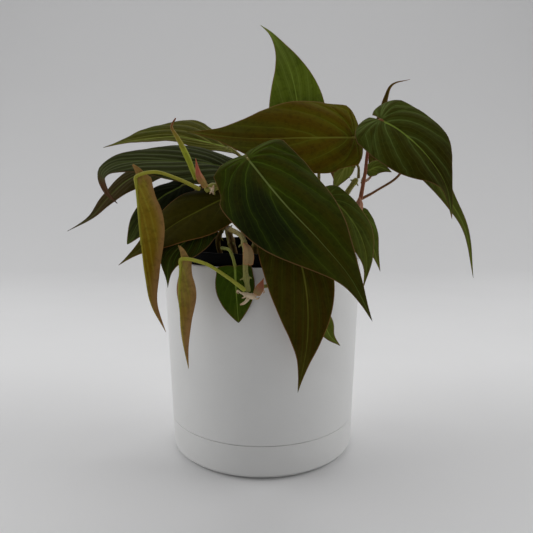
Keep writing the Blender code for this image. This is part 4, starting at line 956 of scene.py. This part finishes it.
pale = stalk_mat('pale_root', (146, 132, 108), (158, 144, 122), (140, 116, 92), 2.2)
brown = stalk_mat('brown_root', (92, 62, 38), (84, 54, 32), (70, 44, 26), 2.0)
for seed, (name, mat) in enumerate((('roots_left', pale), ('roots_front', pale), ('roots_right', brown))):
    path, radii = RODS[name]
    path = np.array(path, float)
    b = Build()
    v, f, al, ac = round_tube(path, np.interp(np.linspace(0, 1, len(path)), np.linspace(0, 1, len(radii)), radii), .3, 10,
                              [(.3, .12, .5), (.7, .1, .4)])
    b.put(v, f, 0, al=al, ac=ac)
    if name != 'roots_right':
        if name == 'roots_front':
            # a knobby cross piece under the node, its ends curling up and back
            UP = np.array((.9, .5, 2.1))
            v, f, al, ac = round_tube(UP + np.array([(-10.8, -67.0, 101.4), (-9.4, -67.6, 100.9), (-7.4, -67.4, 100.0), (-5.4, -67.2, 99.6), (-3.6, -67.0, 100.6),
                                       (-2.4, -66.6, 102.2)]), (.35, .8, 1.35, 1.5, 1.05, .5), .3, 16, [(.3, .18, .3), (.62, .2, .4)])
            b.put(v, f, 0, al=al, ac=ac)
            for curl, radii_ in (([(-9.6, -67.6, 100.9), (-11.0, -68.0, 101.6), (-12.2, -67.9, 102.5), (-12.6, -67.4, 101.6), (-11.9, -67.2, 100.9)], (.5, .5, .42, .34, .2)),
                                 ([(-3.2, -67.2, 101.0), (-1.6, -67.6, 102.2), (-.3, -67.6, 102.6), (.5, -67.3, 101.9), (.1, -67.0, 101.1)], (.55, .48, .4, .34, .2)),
                                 ([(-4.8, -67.6, 99.8), (-3.6, -68.2, 98.7), (-2.6, -68.2, 98.5), (-1.8, -67.9, 99.2)], (.55, .48, .38, .2)),
                                 ([(-8.4, -67.6, 100.2), (-9.2, -68.2, 99.2), (-10.2, -68.2, 98.9)], (.5, .42, .22))):
                v, f, al, ac = round_tube(UP + np.array(curl), radii_, .25, 10)
                b.put(v, f, 0, al=al, ac=ac)
        for k in range(3 if name == 'roots_left' else 0):
            a = 6.28 * hsh(seed, k)
            q = path[0] + np.array([math.cos(a) * 1.0, -.3, math.sin(a) * 1.0])
            e = q + np.array([math.cos(a) * 1.1, -.5, math.sin(a) * 1.0 - .3])
            v, f, al, ac = round_tube([path[0], q, e], (.6, .5, .26), .3, 8)
            b.put(v, f, 0, al=al, ac=ac)
    place(b.make('fine_' + name, [mat]), name)

# --------------------------------------------------------------------------
# planter, saucer, nursery pot
# --------------------------------------------------------------------------
def turned_piece(node, profile, sides, mat, sharp=40):
    v, f = turned(profile, sides)
    b = Build()
    b.put(v, f)
    return place(b.make('fine_' + node, [mat], sharp), node)


white = plastic_mat('planter', (.80, .80, .79), .42, .35)
white2 = plastic_mat('saucer', (.79, .79, .78), .42, .35)
turned_piece('planter_pot', rounded([
    (0, 3.6), (50.6, 3.6, 1.0), (50.6, SEAM_Z + .2, .2), (SEAM_R, SEAM_Z + .2, .38), (RIM_R, RIM_Z, .9), (RIM_R - WALL, RIM_Z, .9),
    (47.9, 6.6, 2.4), (0, 6.6)], 6), 192, white)
turned_piece('snap_saucer', rounded([
    (0, 0), (FOOT_R - 2.6, 0, .4), (FOOT_R, 2.2, 2.0), (SEAM_R, SEAM_Z, .38), (51.0, SEAM_Z, .4), (51.0, 3.0, .8), (0, 3.0)], 6),
    192, white2)
black = plastic_mat('nursery', (.004, .004, .0042), .65, .06, .15)
turned_piece('nursery_pot', rounded([
    (0, 7.0), (45.6, 7.0, 1.0), (53.4, 115.0, .3), (54.6, 115.4, .3), (54.6, 120.6, .5), (52.4, 120.6, .5), (44.3, 8.6, 1.0), (0, 8.6)], 4),
    144, black)

# --------------------------------------------------------------------------
# potting mix: clods, bark and fibres
# --------------------------------------------------------------------------
def soil_height(x, y):
    h = SOIL_Z - 1.2 * (np.hypot(x, y) / 50) ** 2
    h = h + .9 * np.sin(x * .31 + 1.7) * np.cos(y * .27 - .6) + .5 * np.sin(x * .71 - y * .55)
    h = h + .55 * np.sin(x * 1.9 + 2 * np.sin(y * 1.1)) * np.sin(y * 2.1 + 1.3 * np.sin(x * 1.4))
    return h + .35 * np.sin(x * 4.7 + 3 * np.sin(y * 2.9)) * np.sin(y * 4.1 + 2 * np.sin(x * 3.3))


b = Build()
R = np.concatenate([np.linspace(0, 50.2, 84)[1:]])
sides = 220
ang = 2 * math.pi * np.arange(sides) / sides
verts = [np.array([[0, 0, float(soil_height(0, 0))]])]
for r in R:
    x, y = r * np.cos(ang), r * np.sin(ang)
    verts.append(np.stack([x, y, soil_height(x, y)], -1))
low = [(50.2, 100.), (44.4, 20.), (43.6, 9.6)]
for r, z in low:
    verts.append(np.stack([r * np.cos(ang), r * np.sin(ang), np.full(sides, z)], -1))
verts = np.vstack(verts)
faces = [(0, 1 + k, 1 + (k + 1) % sides) for k in range(sides)]
for m in range(len(R) + len(low) - 1):
    a0, b0 = 1 + m * sides, 1 + (m + 1) * sides
    faces += [(a0 + k, b0 + k, b0 + (k + 1) % sides, a0 + (k + 1) % sides) for k in range(sides)]
a0 = 1 + (len(R) + len(low) - 1) * sides
faces.append(tuple(a0 + k for k in range(sides))[::-1])
b.put(verts, faces)
ico = bpy.data.meshes.new('clod')
import bmesh
bm = bmesh.new()
bmesh.ops.create_icosphere(bm, subdivisions=2, radius=1.0)
iv = np.array([v.co for v in bm.verts])
iface = [tuple(v.index for v in f.verts) for f in bm.faces]
bm.free()
bpy.data.meshes.remove(ico)
for k in range(340):
    r = 47 * math.sqrt(hsh(k, 1))
    a = 6.2832 * hsh(k, 2)
    x, y = r * math.cos(a), r * math.sin(a)
    s = .7 + 1.9 * hsh(k, 3) ** 2.2
    sc = np.array([s * (.8 + .7 * hsh(k, 4)), s * (.7 + .5 * hsh(k, 5)), s * (.5 + .4 * hsh(k, 6))])
    p = iv * (1 + .22 * ripple(iv * 3, k, 3.1))[:, None] * sc
    q = 6.28 * hsh(k, 7)
    rot = np.array([[math.cos(q), -math.sin(q), 0], [math.sin(q), math.cos(q), 0], [.3 * (hsh(k, 8) - .5), .3 * (hsh(k, 9) - .5), 1]])
    p = p @ rot.T + (x, y, float(soil_height(np.float64(x), np.float64(y))) + s * .15)
    b.put(p, iface)
for k in range(46):
    r = 44 * math.sqrt(hsh(k, 11))
    a = 6.2832 * hsh(k, 12)
    x, y = r * math.cos(a), r * math.sin(a)
    q, ln = 6.28 * hsh(k, 13), 2.5 + 5 * hsh(k, 14)
    e = np.array([math.cos(q), math.sin(q), .05 * (hsh(k, 15) - .5)])
    p0 = np.array([x, y, float(soil_height(np.float64(x), np.float64(y))) + .35])
    v, f, al, ac = round_tube([p0 - e * ln / 2, p0 + (.3, .4, .25), p0 + e * ln / 2], (.28, .34, .2), .6, 6)
    b.put(v, f, 0, al=al)
place(b.make('fine_potting_mix', [soil_mat()]), 'potting_mix')

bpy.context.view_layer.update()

# --------------------------------------------------------------------------
# floor, light and camera
# --------------------------------------------------------------------------
prof = [(-1.6, 0.0), (.55, 0.0)]
for k in range(1, 25):
    a = math.pi / 2 * k / 24
    prof.append((.55 + .9 * math.sin(a), .9 - .9 * math.cos(a)))
prof.append((1.45, 3.2))
sv, sf = [], []
for k, (y, z) in enumerate(prof):
    sv += [(-2600, y * 1000, z * 1000 - .3), (2600, y * 1000, z * 1000 - .3)]
    if k:
        sf.append((2 * k - 2, 2 * k - 1, 2 * k + 1, 2 * k))
fm = Net('mat_floor', .75, .1)
depth = fm.new('ShaderNodeSeparateXYZ')
fm.t.links.new(fm.coord(), depth.inputs[0])
grain = fm.math('MULTIPLY_ADD', fm.noise(6, 3), .12, -.06)
far = fm.math('ADD', depth.outputs[1], grain)
# painted shade: from just behind the planter the floor and backdrop are painted ever darker with distance, standing in
# for the light falling off toward the back; the front edge is also a touch darker
falloff_shade = fm.ramp(fm.math('DIVIDE', far, 1.5), [(0., (.785, .785, .79)), (.10, (.80, .80, .805)), (.45, (.60, .60, .605)), (.9, (.54, .54, .545))])
fm.bump(fm.noise(500, 2), .05, .0003)
floor = add_mesh('floor', sv, sf, [fm.colour(falloff_shade)])


def soft_box(name, loc, aim, size, power, tint=(1, 1, 1)):
    la = bpy.data.lights.new(name, 'AREA')
    la.shape, la.size, la.size_y = 'RECTANGLE', size[0], size[1]
    la.energy, la.color = power, tint
    ob = bpy.data.objects.new(name, la)
    ob.location = loc
    from mathutils import Vector
    ob.rotation_euler = (Vector(aim) - Vector(loc)).to_track_quat('-Z', 'Y').to_euler()
    scene.collection.objects.link(ob)


soft_box('light_left', (-1.5, .15, .95), (0, .05, .1), (1.3, 1.3), 11.0)
soft_box('light_right', (1.5, .15, .95), (0, .05, .1), (1.3, 1.3), 10.0)
soft_box('light_back', (0, 1.0, 1.7), (0, .15, 0), (1.8, .8), 12.0)
world = bpy.data.worlds.new('studio')
world.use_nodes = True
bg = world.node_tree.nodes['Background']
bg.inputs['Color'].default_value = (1, 1, 1, 1)
bg.inputs['Strength'].default_value = .24
scene.world = world
scene.view_settings.view_transform = 'Standard'
scene.view_settings.look = 'None'

cam = bpy.data.cameras.new('camera')
cam.sensor_width = 36
cam.lens = 18 / math.tan(math.radians(26))
cam.clip_start, cam.clip_end = .01, 20
co = bpy.data.objects.new('camera', cam)
co.location = (.0025, -.3258, .1517)
co.rotation_euler = (math.radians(90 - 7.81), 0, 0)
scene.collection.objects.link(co)
scene.camera = co
